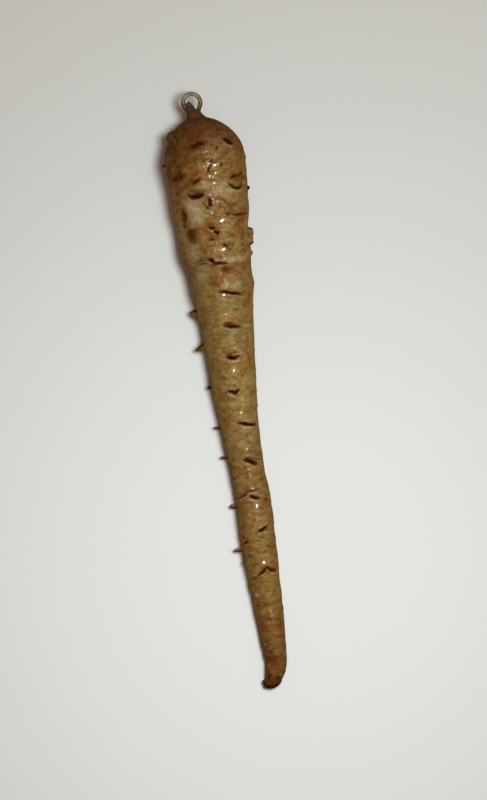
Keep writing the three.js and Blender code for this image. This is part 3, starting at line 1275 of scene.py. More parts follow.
# Each drop's place along and across, its size, and how wet it is.
DROPS: tuple[tuple[float, float, float, float], ...] = (
    (15.2, 0.2, 0.6, 0.48),
    (15.4, -0.6, 0.5, 0.42),
    (16.7, 3.4, 0.5, 0.46),
    (17.4, 0.2, 0.5, 0.45),
    (17.9, 3.6, 0.5, 0.43),
    (19.6, 0.4, 0.5, 0.46),
    (20.1, 0.1, 0.5, 0.55),
    (20.2, 2.1, 0.5, 0.5),
    (21.0, 3.9, 0.6, 0.52),
    (21.4, 4.2, 0.5, 0.48),
    (21.0, 2.7, 0.7, 0.75),
    (21.5, 2.1, 0.6, 0.65),
    (21.9, 1.5, 0.5, 0.5),
    (24.1, 2.8, 0.6, 0.75),
    (25.1, 0.1, 0.65, 0.72),
    (25.8, 1.2, 0.5, 0.44),
    (27.9, 1.2, 0.6, 0.5),
    (26.4, 3.2, 0.5, 0.43),
    (27.1, -2.2, 0.5, 0.46),
    (27.5, -3.2, 0.5, 0.48),
    (20.2, -3.5, 0.5, 0.45),
    (20.6, -1.4, 0.5, 0.43),
    (22.3, -1.2, 0.5, 0.45),
    (30.2, 0.9, 0.5, 0.43),
    (33.2, 1.4, 0.7, 0.58),
    (32.5, -0.7, 0.6, 0.65),
    (34.5, -0.2, 0.5, 0.5),
    (35.7, 0.0, 0.5, 0.44),
    (36.0, 1.6, 0.6, 0.46),
    (38.8, 5.6, 0.5, 0.52),
    (38.5, -2.1, 0.5, 0.45),
    (39.8, -1.0, 0.6, 0.46),
    (40.9, 1.9, 0.5, 0.52),
    (41.0, -3.0, 0.5, 0.46),
    (42.8, -3.9, 0.6, 0.56),
    (43.0, 3.0, 0.9, 1.0),
    (43.5, 2.3, 1.0, 1.0),
    (44.8, -0.5, 0.5, 0.43),
    (45.6, 1.6, 0.5, 0.44),
    (46.8, -2.0, 0.5, 0.46),
    (51.3, 3.5, 0.5, 0.5),
    (51.2, 1.1, 0.5, 0.42),
    (54.3, 1.8, 0.5, 0.65),
    (55.0, 1.6, 0.6, 0.75),
    (54.9, -1.7, 0.5, 0.44),
    (55.6, -4.6, 0.5, 0.46),
    (54.2, -0.6, 0.5, 0.42),
    (64.4, -0.6, 0.4, 1.0),
    (68.6, 1.6, 0.48, 0.7),
    (73.2, -0.8, 0.72, 0.9),
    (74.2, -1.7, 0.56, 0.7),
    (78.8, 1.0, 0.4, 0.45),
    (80.6, -0.8, 0.48, 0.45),
    (86.4, -1.0, 0.4, 0.6),
    (88.0, 1.4, 0.48, 0.52),
    (92.4, 0.8, 0.4, 0.6),
    (94.6, 1.2, 0.4, 0.45),
    (103.4, -0.6, 0.56, 0.75),
    (111.0, 2.0, 0.4, 0.45),
    (115.4, 1.0, 0.4, 0.45),
    (120.6, -0.2, 0.56, 0.52),
    (135.4, 0.4, 0.56, 0.6),
    (143.4, 0.0, 0.65, 0.52),
    (151.0, 0.0, 0.48, 0.52),
    (158.4, 1.0, 0.4, 0.75),
    (164.2, 0.4, 0.4, 0.45),
    (181.2, 0.9, 0.48, 0.68),
    (200.6, 0.7, 0.56, 0.68),
    (202.8, 1.0, 0.4, 0.52),
)

CROWN_FEATURES: tuple[Feature, ...] = (
    Swelling(7.6, -13.2, (2.6, 1.8), 1.7, sharpness=1.5),
    Blotch(Stain.DARK, 6.4, -13.8, (2.2, 0.8), 0.8),
    Swelling(46.0, 0.0, (7.0, 10.5), 1.5, turned=-99),
    Slit(
        ((6.2, -11.6), (8.6, -10.7), (10.8, -11.5)), width=0.8, depth=0.3, lip_below=0.05, stain=0.5
    ),
    Slit(((11.0, 7.2), (12.0, 9.2), (12.8, 11.0)), width=2.2, depth=0.9, stain=0.95, soak_and_shade=0.1),
    Swelling(9.9, 5.4, (1.0, 0.6), 0.35),
    Slit(
        ((11.6, -4.4), (11.2, -2.2), (12.0, 0.4)), width=1.8, depth=0.4, lip_below=0.05, stain=0.5
    ),
    Blotch(Stain.DARK, 12.2, -2.4, (3.2, 1.7), 0.55),
    Blotch(Stain.DARK, 23.5, -10.8, (3.0, 2.6), 0.25),
    Crumple(28.0, 1.6, (3.6, 17.0)),
    Slit(((13.2, 4.4), (15.6, 4.1)), width=1.0, depth=0.4, lip_above=0.1, lip_below=0.1, stain=0.8),
    Slit(((18.3, 1.8), (20.0, 1.5)), width=0.8, depth=0.5, stain=0.8),
    Slit(((20.7, 1.6), (21.6, 0.5), (23.4, -0.7)), width=0.9, depth=0.5, stain=0.85),
    Slit(((20.2, 5.5), (21.8, 4.8)), width=0.8, depth=0.4, stain=0.7),
    Blotch(Stain.DARK, 20.2, 3.0, (0.4, 0.4), 0.8),
    Slit(
        ((30.9, -14.0), (28.4, -9.8), (26.4, -7.2)),
        width=1.0, depth=0.2, lip_below=0.05, stain=0.25,
    ),
    Slit(
        ((28.0, -7.6), (26.2, -5.0), (25.3, -3.4)), width=1.2, depth=0.6, lip_below=0.1, stain=0.75
    ),
    Swelling(31.2, -6.4, (3.0, 1.3), -0.7, sharpness=1.4),
    Blotch(Stain.RED, 30.6, -7.6, (2.6, 1.2), 0.7),
    Slit(
        ((31.2, -10.2), (32.8, -8.0), (33.0, -5.4), (31.8, -3.2)),
        width=1.5, depth=0.9, lip_below=0.35,
    ),
    Blotch(Stain.DARK, 31.9, -5.6, (2.6, 0.8), 0.6),
    Slit(((27.2, 7.8), (26.5, 9.6), (26.3, 11.4)), width=1.4, depth=0.5, stain=0.7),
    Blotch(Stain.RED, 27.6, 9.6, (1.6, 0.9), 0.6),
    Slit(
        ((29.3, 7.3), (30.9, 9.0), (31.4, 10.4), (30.6, 12.6)), width=1.4, depth=1.0, lip_below=0.3
    ),
    Slit(((33.7, -1.7), (35.0, -1.1), (37.6, -1.3)), width=1.1, depth=0.6, stain=0.95),
    Blotch(Stain.RED, 34.8, -2.3, (1.1, 0.8), 0.5),
    Slit(((37.4, -3.4), (38.3, -1.9)), width=0.7, depth=0.4, stain=0.7),
    Slit(((34.8, -4.3), (36.9, -3.5)), width=0.7, depth=0.4, stain=0.6),
    Slit(((34.9, 0.8), (35.1, 3.8), (37.4, 5.8), (40.6, 7.4)), width=0.6, depth=0.35, stain=0.5),
    Slit(((40.5, 3.8), (41.2, 5.0), (42.0, 5.9)), width=0.7, depth=0.35, stain=0.6),
    Blotch(Stain.DARK, 37.4, 1.0, (0.4, 0.4), 0.6),
    Blotch(Stain.RED, 37.4, 7.0, (1.1, 1.0), 0.5),
    Blotch(Stain.PALE, 28.9, -2.8, (3.6, 1.3), 0.75, slope=8),
    Blotch(Stain.PALE, 31.2, 5.2, (4.4, 2.5), 0.85, slope=-12),
    Blotch(Stain.PALE, 35.6, -9.6, (3.0, 2.2), 0.8),
    Blotch(Stain.PALE, 39.2, -7.0, (2.8, 4.6), 0.95, slope=-24),
    Blotch(Stain.DARK, 38.9, -12.0, (1.3, 4.0), 0.5, slope=-14),
    Blotch(Stain.RED, 42.6, -12.4, (1.6, 2.6), 0.4),
)

UPPER_FEATURES: tuple[Feature, ...] = (
    Slit(((40.6, 5.4), (41.9, 8.4), (41.7, 12.9)), width=0.9, depth=0.6, lip_below=0.2, stain=0.7),
    Blotch(Stain.RED, 43.4, 10.2, (2.9, 1.4), 0.6),
    Blotch(Stain.RED, 44.4, -1.6, (1.6, 1.2), 0.6),
    Slit(((45.2, -3.6), (45.8, -2.2), (46.1, -0.6)), width=0.9, depth=0.8),
    Slit(((47.0, -1.4), (47.8, 0.1), (47.6, 1.4)), width=0.9, depth=0.9),
    Slit(((47.9, 0.2), (48.9, 0.2)), width=0.7, depth=0.5),
    Blotch(Stain.DARK, 47.6, -10.0, (3.0, 2.8), 0.5),
    Blotch(Stain.RED, 48.0, -9.0, (3.8, 3.2), 0.5),
    Slit(((50.4, -3.6), (50.9, -1.0)), width=0.8, depth=0.2, stain=0.5, soak_and_shade=0.5),
    Slit(((53.9, 1.4), (53.1, 2.4), (53.6, 3.1), (55.0, 3.3)), width=0.8, depth=0.6, stain=0.9),
    Slit(((54.5, -3.2), (55.4, -2.6)), width=0.6, depth=0.4, stain=0.7),
    Swelling(49.1, 13.3, (2.4, 1.6), 1.8, sharpness=5.0),
    Swelling(52.5, 13.0, (2.4, 2.0), 1.5, sharpness=5.0),
    Blotch(Stain.DARK, 51.0, 13.2, (1.0, 3.4), 0.75, turned=6),
    Blotch(Stain.DARK, 48.0, 12.6, (2.0, 0.7), 0.7),
    Blotch(Stain.DARK, 54.3, 12.6, (2.0, 0.7), 0.8),
    Slit(((50.2, 11.9), (51.4, 12.0)), width=0.7, depth=0.5, stain=0.8),
    Slit(((54.2, 8.8), (54.0, 10.2)), width=0.7, depth=0.4, stain=0.7),
    Slit(((47.6, 10.0), (50.4, 9.6), (53.4, 10.4)), width=0.7, depth=0.5, stain=0.45),
    Blotch(Stain.OLIVE, 51.2, 11.6, (1.8, 2.8), 0.9),
    Swelling(57.7, 11.9, (1.2, 1.2), 0.8, sharpness=1.6),
    Blotch(Stain.DARK, 58.2, 11.9, (1.0, 1.4), 0.7, turned=4),
    Blotch(Stain.DARK, 62.0, 11.4, (0.8, 2.6), 0.4, turned=2),
    Slit(((57.8, -5.6), (58.8, -3.8), (60.0, -2.4)), width=1.2, depth=0.9, lip_above=0.25),
    Slit(
        ((60.7, -3.8), (60.0, -1.4), (60.3, 0.8), (61.1, 2.8)), width=1.1, depth=0.9, lip_above=0.3
    ),
    Blotch(Stain.RED, 61.0, -3.4, (1.4, 1.0), 0.6),
    Slit(((59.0, -10.0), (58.2, -7.6), (58.3, -5.5)), width=0.6, depth=0.3, stain=0.5),
    Blotch(Stain.PALE, 59.4, 5.0, (6.4, 1.3), 0.75),
    Blotch(Stain.GREY, 54.3, -9.8, (3.0, 3.4), 0.6),
    Blotch(Stain.GREY, 64.5, -8.6, (3.6, 4.0), 0.55),
    Blotch(Stain.DARK, 62.6, 1.3, (1.5, 1.5), 0.5),
    Blotch(Stain.RED, 62.6, 1.6, (3.0, 1.7), 0.5),
    Blotch(Stain.RED, 68.0, -4.0, (2.3, 1.1), 0.6),
    Swelling(64.5, -0.5, (0.7, 0.6), 0.35),
    Blotch(Stain.PALE, 70.0, 3.0, (5.4, 1.0), 0.5),
    Slit(
        ((71.8, -3.0), (71.6, -0.4), (73.0, 3.4), (73.9, 6.8)), width=1.1, depth=0.9, lip_above=0.3
    ),
    Blotch(Stain.RED, 71.4, -1.6, (1.4, 0.8), 0.6),
    Slit(((84.0, -2.4), (84.6, 0.4), (85.4, 2.4)), width=0.7, depth=0.4, stain=0.6, soak_and_shade=0.15),
    Slit(((85.2, -2.8), (85.7, 0.4), (86.6, 4.4)), width=1.3, depth=1.0, soak_and_shade=0.4),
    Blotch(Stain.PALE, 86.2, 6.0, (2.4, 0.8), 0.5),
    Swelling(69.6, 11.4, (1.0, 2.2), 0.5, sharpness=1.5),
    Blotch(Stain.DARK, 69.8, 11.4, (0.7, 2.2), 0.6, turned=3),
    Swelling(79.0, 10.1, (0.9, 0.9), 0.45),
    Blotch(Stain.DARK, 79.2, 10.1, (0.7, 0.9), 0.6, turned=3),
)

LOWER_FEATURES: tuple[Feature, ...] = (
    Slit(((97.0, -2.4), (96.6, 0.4), (96.3, 2.8)), width=0.6, depth=0.5, stain=0.6, soak_and_shade=0.1),
    Blotch(Stain.RED, 97.6, 0.4, (1.8, 0.5), 0.5),
    Slit(((97.6, -3.4), (98.8, 0.0), (98.2, 2.6)), width=1.4, depth=1.0, lip_below=0.35),
    Slit(((111.3, -4.8), (112.5, -1.5), (111.2, 0.4)), width=1.1, depth=1.0, lip_below=0.4),
    Blotch(Stain.PALE, 124.0, 1.0, (3.4, 0.6), 0.4),
    Slit(
        ((124.4, -2.8), (125.2, 1.0), (126.4, 5.0)),
        width=1.1,
        depth=0.9,
        lip_above=0.35,
        lip_below=0.35,
    ),
    # Painted highlight on the lower lip of the slit above.
    Blotch(Stain.PALE, 126.8, 0.7, (1.9, 0.5), 0.7),
    Blotch(Stain.RED, 122.0, -4.6, (3.0, 1.2), 0.4),
    Slit(((139.2, -2.2), (140.4, 0.8), (141.6, 3.8)), width=1.7, depth=1.1, lip_below=0.3),
    Slit(((138.9, -0.3), (139.6, 2.4), (140.9, 5.6)), width=0.5, depth=0.4, stain=0.5),
    # Painted highlight on the lower lip of the slit above.
    Blotch(Stain.PALE, 141.3, -0.6, (0.7, 0.5), 0.7),
    Slit(
        ((155.1, -6.4), (153.9, -4.4), (152.4, -1.7), (151.7, 4.0)),
        width=0.9,
        depth=0.3,
        lip_above=0.2,
        lip_below=0.4,
        stain=0.5,
    ),
    Blotch(Stain.PALE, 153.0, -1.2, (3.6, 0.6), 0.45, slope=-18),
    Slit(((153.9, -1.7), (154.8, 0.6), (155.5, 2.9)), width=1.2, depth=1.0, lip_below=0.35),
    # Painted highlight on the lower lip of the slit above.
    Blotch(Stain.PALE, 155.4, -1.0, (1.3, 0.5), 0.6),
    Blotch(Stain.RED, 156.4, 4.7, (1.5, 1.0), 0.6),
    Blotch(Stain.DARK, 156.4, 4.7, (1.0, 0.7), 0.5),
    Slit(((167.0, 4.3), (167.3, 2.7), (168.4, 1.4), (168.7, 0.1)), width=1.3, depth=1.0),
    Blotch(Stain.DARK, 168.3, 1.5, (0.9, 0.7), 0.7),
    Blotch(Stain.GREY, 169.3, 2.5, (2.6, 0.5), 0.7),
    Slit(((170.7, -0.6), (171.3, 1.2), (171.8, 2.9)), width=0.5, depth=0.4, stain=0.6),
    Blotch(Stain.DARK, 175.0, 3.8, (0.6, 0.5), 0.8),
    Blotch(Stain.DARK, 178.0, 4.4, (0.5, 0.4), 0.7),
    Slit(((172.1, -6.6), (172.5, -5.8), (172.3, -4.7)), width=1.0, depth=0.7, stain=0.9),
    Slit(((186.4, -2.4), (184.9, -0.4), (183.4, 1.9)), width=1.1, depth=0.6, stain=0.85, soak_and_shade=0.6),
    Slit(((183.2, 1.4), (184.6, 3.2), (185.0, 5.4)), width=1.3, depth=0.6, stain=0.85, soak_and_shade=0.5),
    Slit(((186.3, -2.2), (186.9, -4.8)), width=0.7, depth=0.3, stain=0.4),
    Blotch(Stain.DARK, 197.3, 4.4, (0.7, 0.5), 0.6),
    Blotch(Stain.RED, 219.8, -1.5, (2.6, 2.8), 0.6),
)

TIP_FEATURES: tuple[Feature, ...] = (
    Blotch(Stain.DARK, 228.4, 1.0, (2.6, 1.4), 0.35),
    Blotch(Stain.DARK, 226.6, -3.2, (1.4, 0.8), 0.45, slope=40),
    Swelling(226.2, 2.0, (1.6, 1.4), 0.4),
)


# ------------------------------------------------------------------------------ the root


@dataclass(frozen=True)
class Frame:
    """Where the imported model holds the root, so that the dressed one lies in the same place."""

    across: float
    top: float

    @classmethod
    def read(cls, eye: WireEye) -> Frame:
        """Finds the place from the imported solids.

        Args:
            eye: The eye, whose ring gives the place across.

        Returns:
            The place of the root's own origin, in metres.
        """
        eye_low, eye_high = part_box("hanging_eye")
        root_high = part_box("horseradish_root")[1]
        return cls((eye_low.x + eye_high.x) / 2 - eye.ring_across * MM, root_high.y)

    def to_metres(self, points: Array) -> Array:
        """Moves points from the root's own millimetres into the frame."""
        return points * MM + (self.across, self.top, 0)


@dataclass(frozen=True)
class Stem:
    """The worked-out line of something thin that stands out from the root."""

    path: Array
    radii: Array
    upright: tuple[float, float, float]
    flatness: float
    dark: float
    # pale and dark_side set the painted highlight and the painted shade on the stem's sides.
    pale: float
    dark_side: int
    place: float


@dataclass(frozen=True)
class Rootlet:
    """The dried stub of a rootlet."""

    along: float
    turn: float
    length: float
    radius: float
    end_radius: float = 0.5
    lean: float = 10.0
    droop: float = 0.3
    dark: float = 0.5
    # pale is a painted highlight on the stub's upper side; dark_side turns its painted shade
    # towards the tip at 1 and towards the neck at -1.
    pale: float = 0.0
    flatness: float = 1.0
    dark_side: int = 1
    rings: int = 11

    def collar(self) -> Swelling:
        """The skin that swells up round the stub."""
        size = (self.radius * 1.3, self.radius * 1.3 * self.flatness)
        return Swelling(self.along, 0.0, size, self.radius * 0.3, turned=self.turn)

    def stem(self, form: RootForm) -> Stem:
        """Works out the stub's line.

        Args:
            form: The shape of the root that it stands on.

        Returns:
            The line, from inside the skin to the broken end.
        """
        turn, lean = math.radians(self.turn), math.radians(self.lean)
        outward = np.array([math.sin(turn), 0, math.cos(turn)])
        axis = outward * math.cos(lean) - np.array([0, math.sin(lean), 0])
        middle = np.array([float(form.middle(self.along)), -self.along, 0])
        middle[2] = float(form.height(self.along))
        base = middle + outward * (float(form.radius(self.along)) - self.radius)
        share = np.linspace(0, 1, self.rings)
        path = base + np.outer(share * (self.length + self.radius), axis)
        path[:, 2] -= self.droop * share**2
        blunt = np.sqrt(1 - 0.95 * share**6)
        radii = (self.end_radius + (self.radius - self.end_radius) * (1 - share) ** 1.2) * blunt
        upright = (0.0, 1.0, 0.0)
        tints = (self.dark, self.pale, self.dark_side)
        return Stem(path, radii, upright, self.flatness, *tints, self.along / form.end)


@dataclass(frozen=True)
class GrowingPoint:
    """The dried growing point at the tip, curled to one side.

    Each corner of its line gives its place in the root's own millimetres and its radius there.
    """

    corners: tuple[tuple[float, float, float, float], ...] = (
        (-0.3, -226.4, 3.4, 2.6),
        (-1.2, -228.7, 3.5, 2.5),
        (-2.9, -229.6, 3.6, 2.3),
        (-4.6, -229.0, 3.8, 1.9),
        (-5.9, -227.8, 3.9, 1.0),
    )
    dark: float = 0.35
    rings: int = 16

    def stem(self, form: RootForm) -> Stem:
        """Works out the line of the growing point.

        Args:
            form: The shape of the root.

        Returns:
            The line, from inside the tip to the curled end.
        """
        line = line_through(self.corners, self.rings)
        ending = np.sqrt(1 - 0.8 * np.linspace(0, 1, self.rings) ** 12)
        place = self.corners[0][1] / -form.end
        radii = line[:, 3] * ending
        return Stem(line[:, :3], radii, (0.0, 0.0, 1.0), 1.0, self.dark, 0.0, 1, place)


@dataclass
class Root:
    """The root itself: one grown body with its rootlet stubs."""

    form: RootForm
    finish: LacqueredSkin
    rings: int = 820
    sides: int = 118
    crowding: float = 0.58
    scar_turns: tuple[float, ...] = (114, 155, -118, -158)
    scar_start: float = 17.0
    scar_stagger: float = 3.7
    scar_end: float = 212.0
    scar_gap: float = 12.5
    scar_seed: int = 11
    crease_span: tuple[float, float] = (6.0, 222.0)
    crease_count: int = 130
    crease_seed: int = 23
    rootlets: tuple[Rootlet, ...] = (
        Rootlet(18.6, -88, 1.2, 0.7, dark=0.95),
        Rootlet(34.6, -92, 0.9, 0.8, dark=0.9),
        Rootlet(31.7, 88, 1.0, 1.1, 0.8, dark=0.95),
        Rootlet(80.4, -100, 4.2, 2.6, 0.9, lean=-20, dark=0.4, flatness=1.2, dark_side=-1),
        Rootlet(91.2, -98, 5.0, 2.8, 0.6, lean=18, dark=0.4, flatness=1.2, dark_side=-1),
        Rootlet(106.7, -90, 0.4, 0.8, dark=0.9),
        Rootlet(108.8, -104, 2.3, 1.2, 0.6, lean=2, dark=0.85),
        Rootlet(125.4, -108, 3.6, 0.9, 0.5, lean=-4, dark=0.55, pale=0.4),
        Rootlet(137.6, -108, 3.6, 1.0, 0.5, lean=-4, dark=0.5, pale=0.5),
        Rootlet(157.4, -108, 3.5, 1.4, 0.8, lean=-2, dark=0.4, pale=0.5),
        Rootlet(174.6, -104, 4.0, 1.1, 0.7, lean=4, dark=0.3, pale=0.7),
        Rootlet(180.0, -92, 1.2, 0.5, 0.3, lean=8, dark=0.3),
        Rootlet(67.9, 88, 0.3, 0.7, dark=0.9),
        Rootlet(70.5, 88, 0.3, 0.6, dark=0.9),
        Rootlet(66.0, 128, 2.0, 1.2, lean=20),
        Rootlet(118.0, 122, 1.9, 1.0, lean=10),
        Rootlet(150.0, 140, 1.7, 0.9, lean=18),
    )
    stub_sides: int = 14
    stub_seed: int = 50
    stub_grain: float = 0.9
    sheen: float = 0.32
    sheen_starts: tuple[float, float] = (5.0, 14.0)
    sheen_edges: tuple[float, float] = (0.6, 0.95)
    damp_fades: tuple[float, float] = (110.0, 40.0)
    dampness: float = 0.22

    def features(self) -> Iterable[Feature]:
        """Everything that is raised on the skin, carved into it or stains it.

        Returns:
            The features, in the order they are applied.
        """
        seen = CLOUDS + CROWN_FEATURES + UPPER_FEATURES + LOWER_FEATURES + TIP_FEATURES
        seen += tuple(Facet(*drop) for drop in DROPS)
        collars = tuple(rootlet.collar() for rootlet in self.rootlets)
        return itertools.chain(collars, self.hidden_scars(), self.fine_creases(), seen)

    def hidden_scars(self) -> list[Slit]:
        """Carries the rows of scars on round the flanks and underneath.

        Returns:
            The scars.
        """
        chance = np.random.default_rng(self.scar_seed)
        scars: list[Slit] = []
        for row, turned in enumerate(self.scar_turns):
            along = self.scar_start + row * self.scar_stagger
            while along < self.scar_end:
                reach = float(self.form.radius(along)) * chance.uniform(0.2, 0.33)
                line = self._line_across(along, reach, chance.uniform(-0.8, 0.8, 3))
                scars.append(Slit(line, width=chance.uniform(0.7, 1.2), turned=turned))
                along += self.scar_gap * chance.uniform(0.8, 1.35)
        return scars

    def fine_creases(self) -> list[Slit]:
        """Scatters short, fine creases over the whole skin.

        Returns:
            The creases.
        """
        chance = np.random.default_rng(self.crease_seed)
        creases: list[Slit] = []
        for along in np.linspace(*self.crease_span, self.crease_count):
            turned = chance.uniform(-180, 180)
            reach = chance.uniform(0.7, 2.2)
            line = self._line_across(along, reach, chance.uniform(-0.4, 0.4, 3))
            width, stain = chance.uniform(0.4, 0.8), chance.uniform(0.1, 0.4)
            creases.append(Slit(line, width, 0.15, 0.03, 0.05, stain, soak_and_shade=0.2, turned=turned))
        return creases

    def _line_across(
        self, along: float, reach: float, dips: Array
    ) -> tuple[tuple[float, float], ...]:
        """Draws a short line across the root.

        Args:
            along: How far along the root it is.
            reach: How far it reaches to each side.
            dips: How far its start, middle and end stray along the root.

        Returns:
            Its three points.
        """
        middle = float(self.form.middle(along))
        return tuple((along + dip, middle + side * reach) for dip, side in zip(dips, (-1, 0, 1)))

    def roughen(self, grid: SkinGrid) -> None:
        """Gives the skin its lumps, rings and wrinkles.

        Args:
            grid: The skin.
        """
        fullness = smooth_step(0, 9, grid.radius)[:, None]
        grid.raised += 0.30 * fullness * grid.noise(Noise.LUMPS)
        grid.raised += 0.16 * fullness * grid.noise(Noise.RINGS)
        grid.raised += 0.14 * grid.noise(Noise.RIPPLES)
        grid.raised += 0.06 * grid.noise(Noise.WRINKLES)

    def build(self, frame: Frame) -> bpy.types.Object:
        """Makes the root's mesh and dresses it.

        Args:
            frame: Where the root lies.

        Returns:
            The finished piece.
        """
        grid = SkinGrid(self.form, self.rings, self.sides, self.crowding)
        self.roughen(grid)
        for feature in self.features():
            feature.apply(grid)
        skin = grid.finished()
        points = np.concatenate([skin.reshape(-1, 3), [skin[0].mean(0), skin[-1].mean(0)]])
        faces = tube_faces(self.rings, self.sides)
        kept = self._skin_values(grid)
        stems = [rootlet.stem(self.form) for rootlet in self.rootlets]
        stems.append(GrowingPoint().stem(self.form))
        for number, stem in enumerate(stems):
            stem_points, stem_values = self._stem_mesh(stem, number)
            faces += tube_faces(len(stem.path), self.stub_sides, len(points))
            points = np.concatenate([points, stem_points])
            for label, values in stem_values.items():
                kept[label] = np.concatenate([kept[label], values])
        piece = mesh_piece("root_skin", frame.to_metres(points), faces, kept)
        piece.data.materials.append(self.finish.material())
        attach(piece, "root")
        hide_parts("horseradish_root")
        return piece

    def _skin_values(self, grid: SkinGrid) -> dict[Stain | Trait, Array]:
        """Lists what the material reads at the skin's corners.

        Args:
            grid: The skin, with all its features.

        Returns:
            The stains, the place along the root, and how wet the lacquer is, which also sets the
            painted sheen.
        """
        kept = {stain: self._at_corners(grid.stains[stain]) for stain in Stain}
        place = np.broadcast_to((grid.along / self.form.end)[:, None], grid.raised.shape)
        kept[Trait.ALONG] = self._at_corners(np.clip(place, 0, 1))
        past_crown = smooth_step(*self.sheen_starts, grid.along)[:, None]
        on_top = smooth_step(*self.sheen_edges, np.cos(grid.turn))[None, :] * past_crown
        fading = smooth_step(*self.damp_fades, grid.along)[:, None]
        damp = self.dampness + (1 - self.dampness) * fading
        # The wetness gives the coat its gloss and also sets where the sheen is painted into the
        # colour.
        wet = np.maximum(self.sheen * damp * on_top, grid.wetted)
        kept[Trait.WET] = self._at_corners(wet)
        return kept

    @staticmethod
    def _at_corners(values: Array) -> Array:
        """Lists a value of the skin's points with those of its two end points."""
        return np.concatenate([values.ravel(), [values[0].mean(), values[-1].mean()]])

    def _stem_mesh(self, stem: Stem, number: int) -> tuple[Array, dict[Stain | Trait, Array]]:
        """Makes a tapered stem with a rough skin, a broken end, and painted shade and a painted
        highlight on its sides.

        Args:
            stem: Its line.
            number: Its number, which gives it its own roughness.

        Returns:
            Its corners and what the material reads there.
        """
        shape = (stem.path, stem.radii, self.stub_sides, stem.upright, stem.flatness)
        points, outward = sweep(*shape)
        seed = self.stub_seed + number
        rough = stem.radii[:, None] * lattice_noise(points / self.stub_grain, seed)
        points += outward * (0.2 * rough)[..., None]
        corners = np.concatenate([points.reshape(-1, 3), stem.path[:1], stem.path[-1:]])
        climb = np.repeat(np.linspace(0, 1, len(stem.path)), self.stub_sides)
        climb = np.concatenate([climb, [0, 1]])
        # Painted shade: the side that faces down is darkened, turned towards the tip by a dark_side
        # of 1 and towards the neck by -1; the other side gets a pale painted highlight towards the
        # end.
        facing = 0.5 * outward[..., 2] + stem.dark_side * outward[..., 1]
        below = smooth_step(0.5, -0.3, facing).ravel()
        below = np.concatenate([below, [0, 0]])
        kept = {label: np.zeros(len(corners)) for label in (*Stain, Trait.ALONG, Trait.WET)}
        charred = stem.dark * smooth_step(-0.2, 0.6, climb)
        side_shade = 0.5 * below * smooth_step(0.1, 0.4, climb)
        kept[Stain.DARK] = np.clip(charred + side_shade, 0, 1)
        kept[Stain.DARK][-1] = max(stem.dark, 0.6)
        kept[Stain.PALE] = stem.pale * smooth_step(0.3, 0.7, climb) * (1 - below)
        kept[Trait.ALONG] += stem.place
        return corners, kept


# ------------------------------------------------------------------------------ the eye


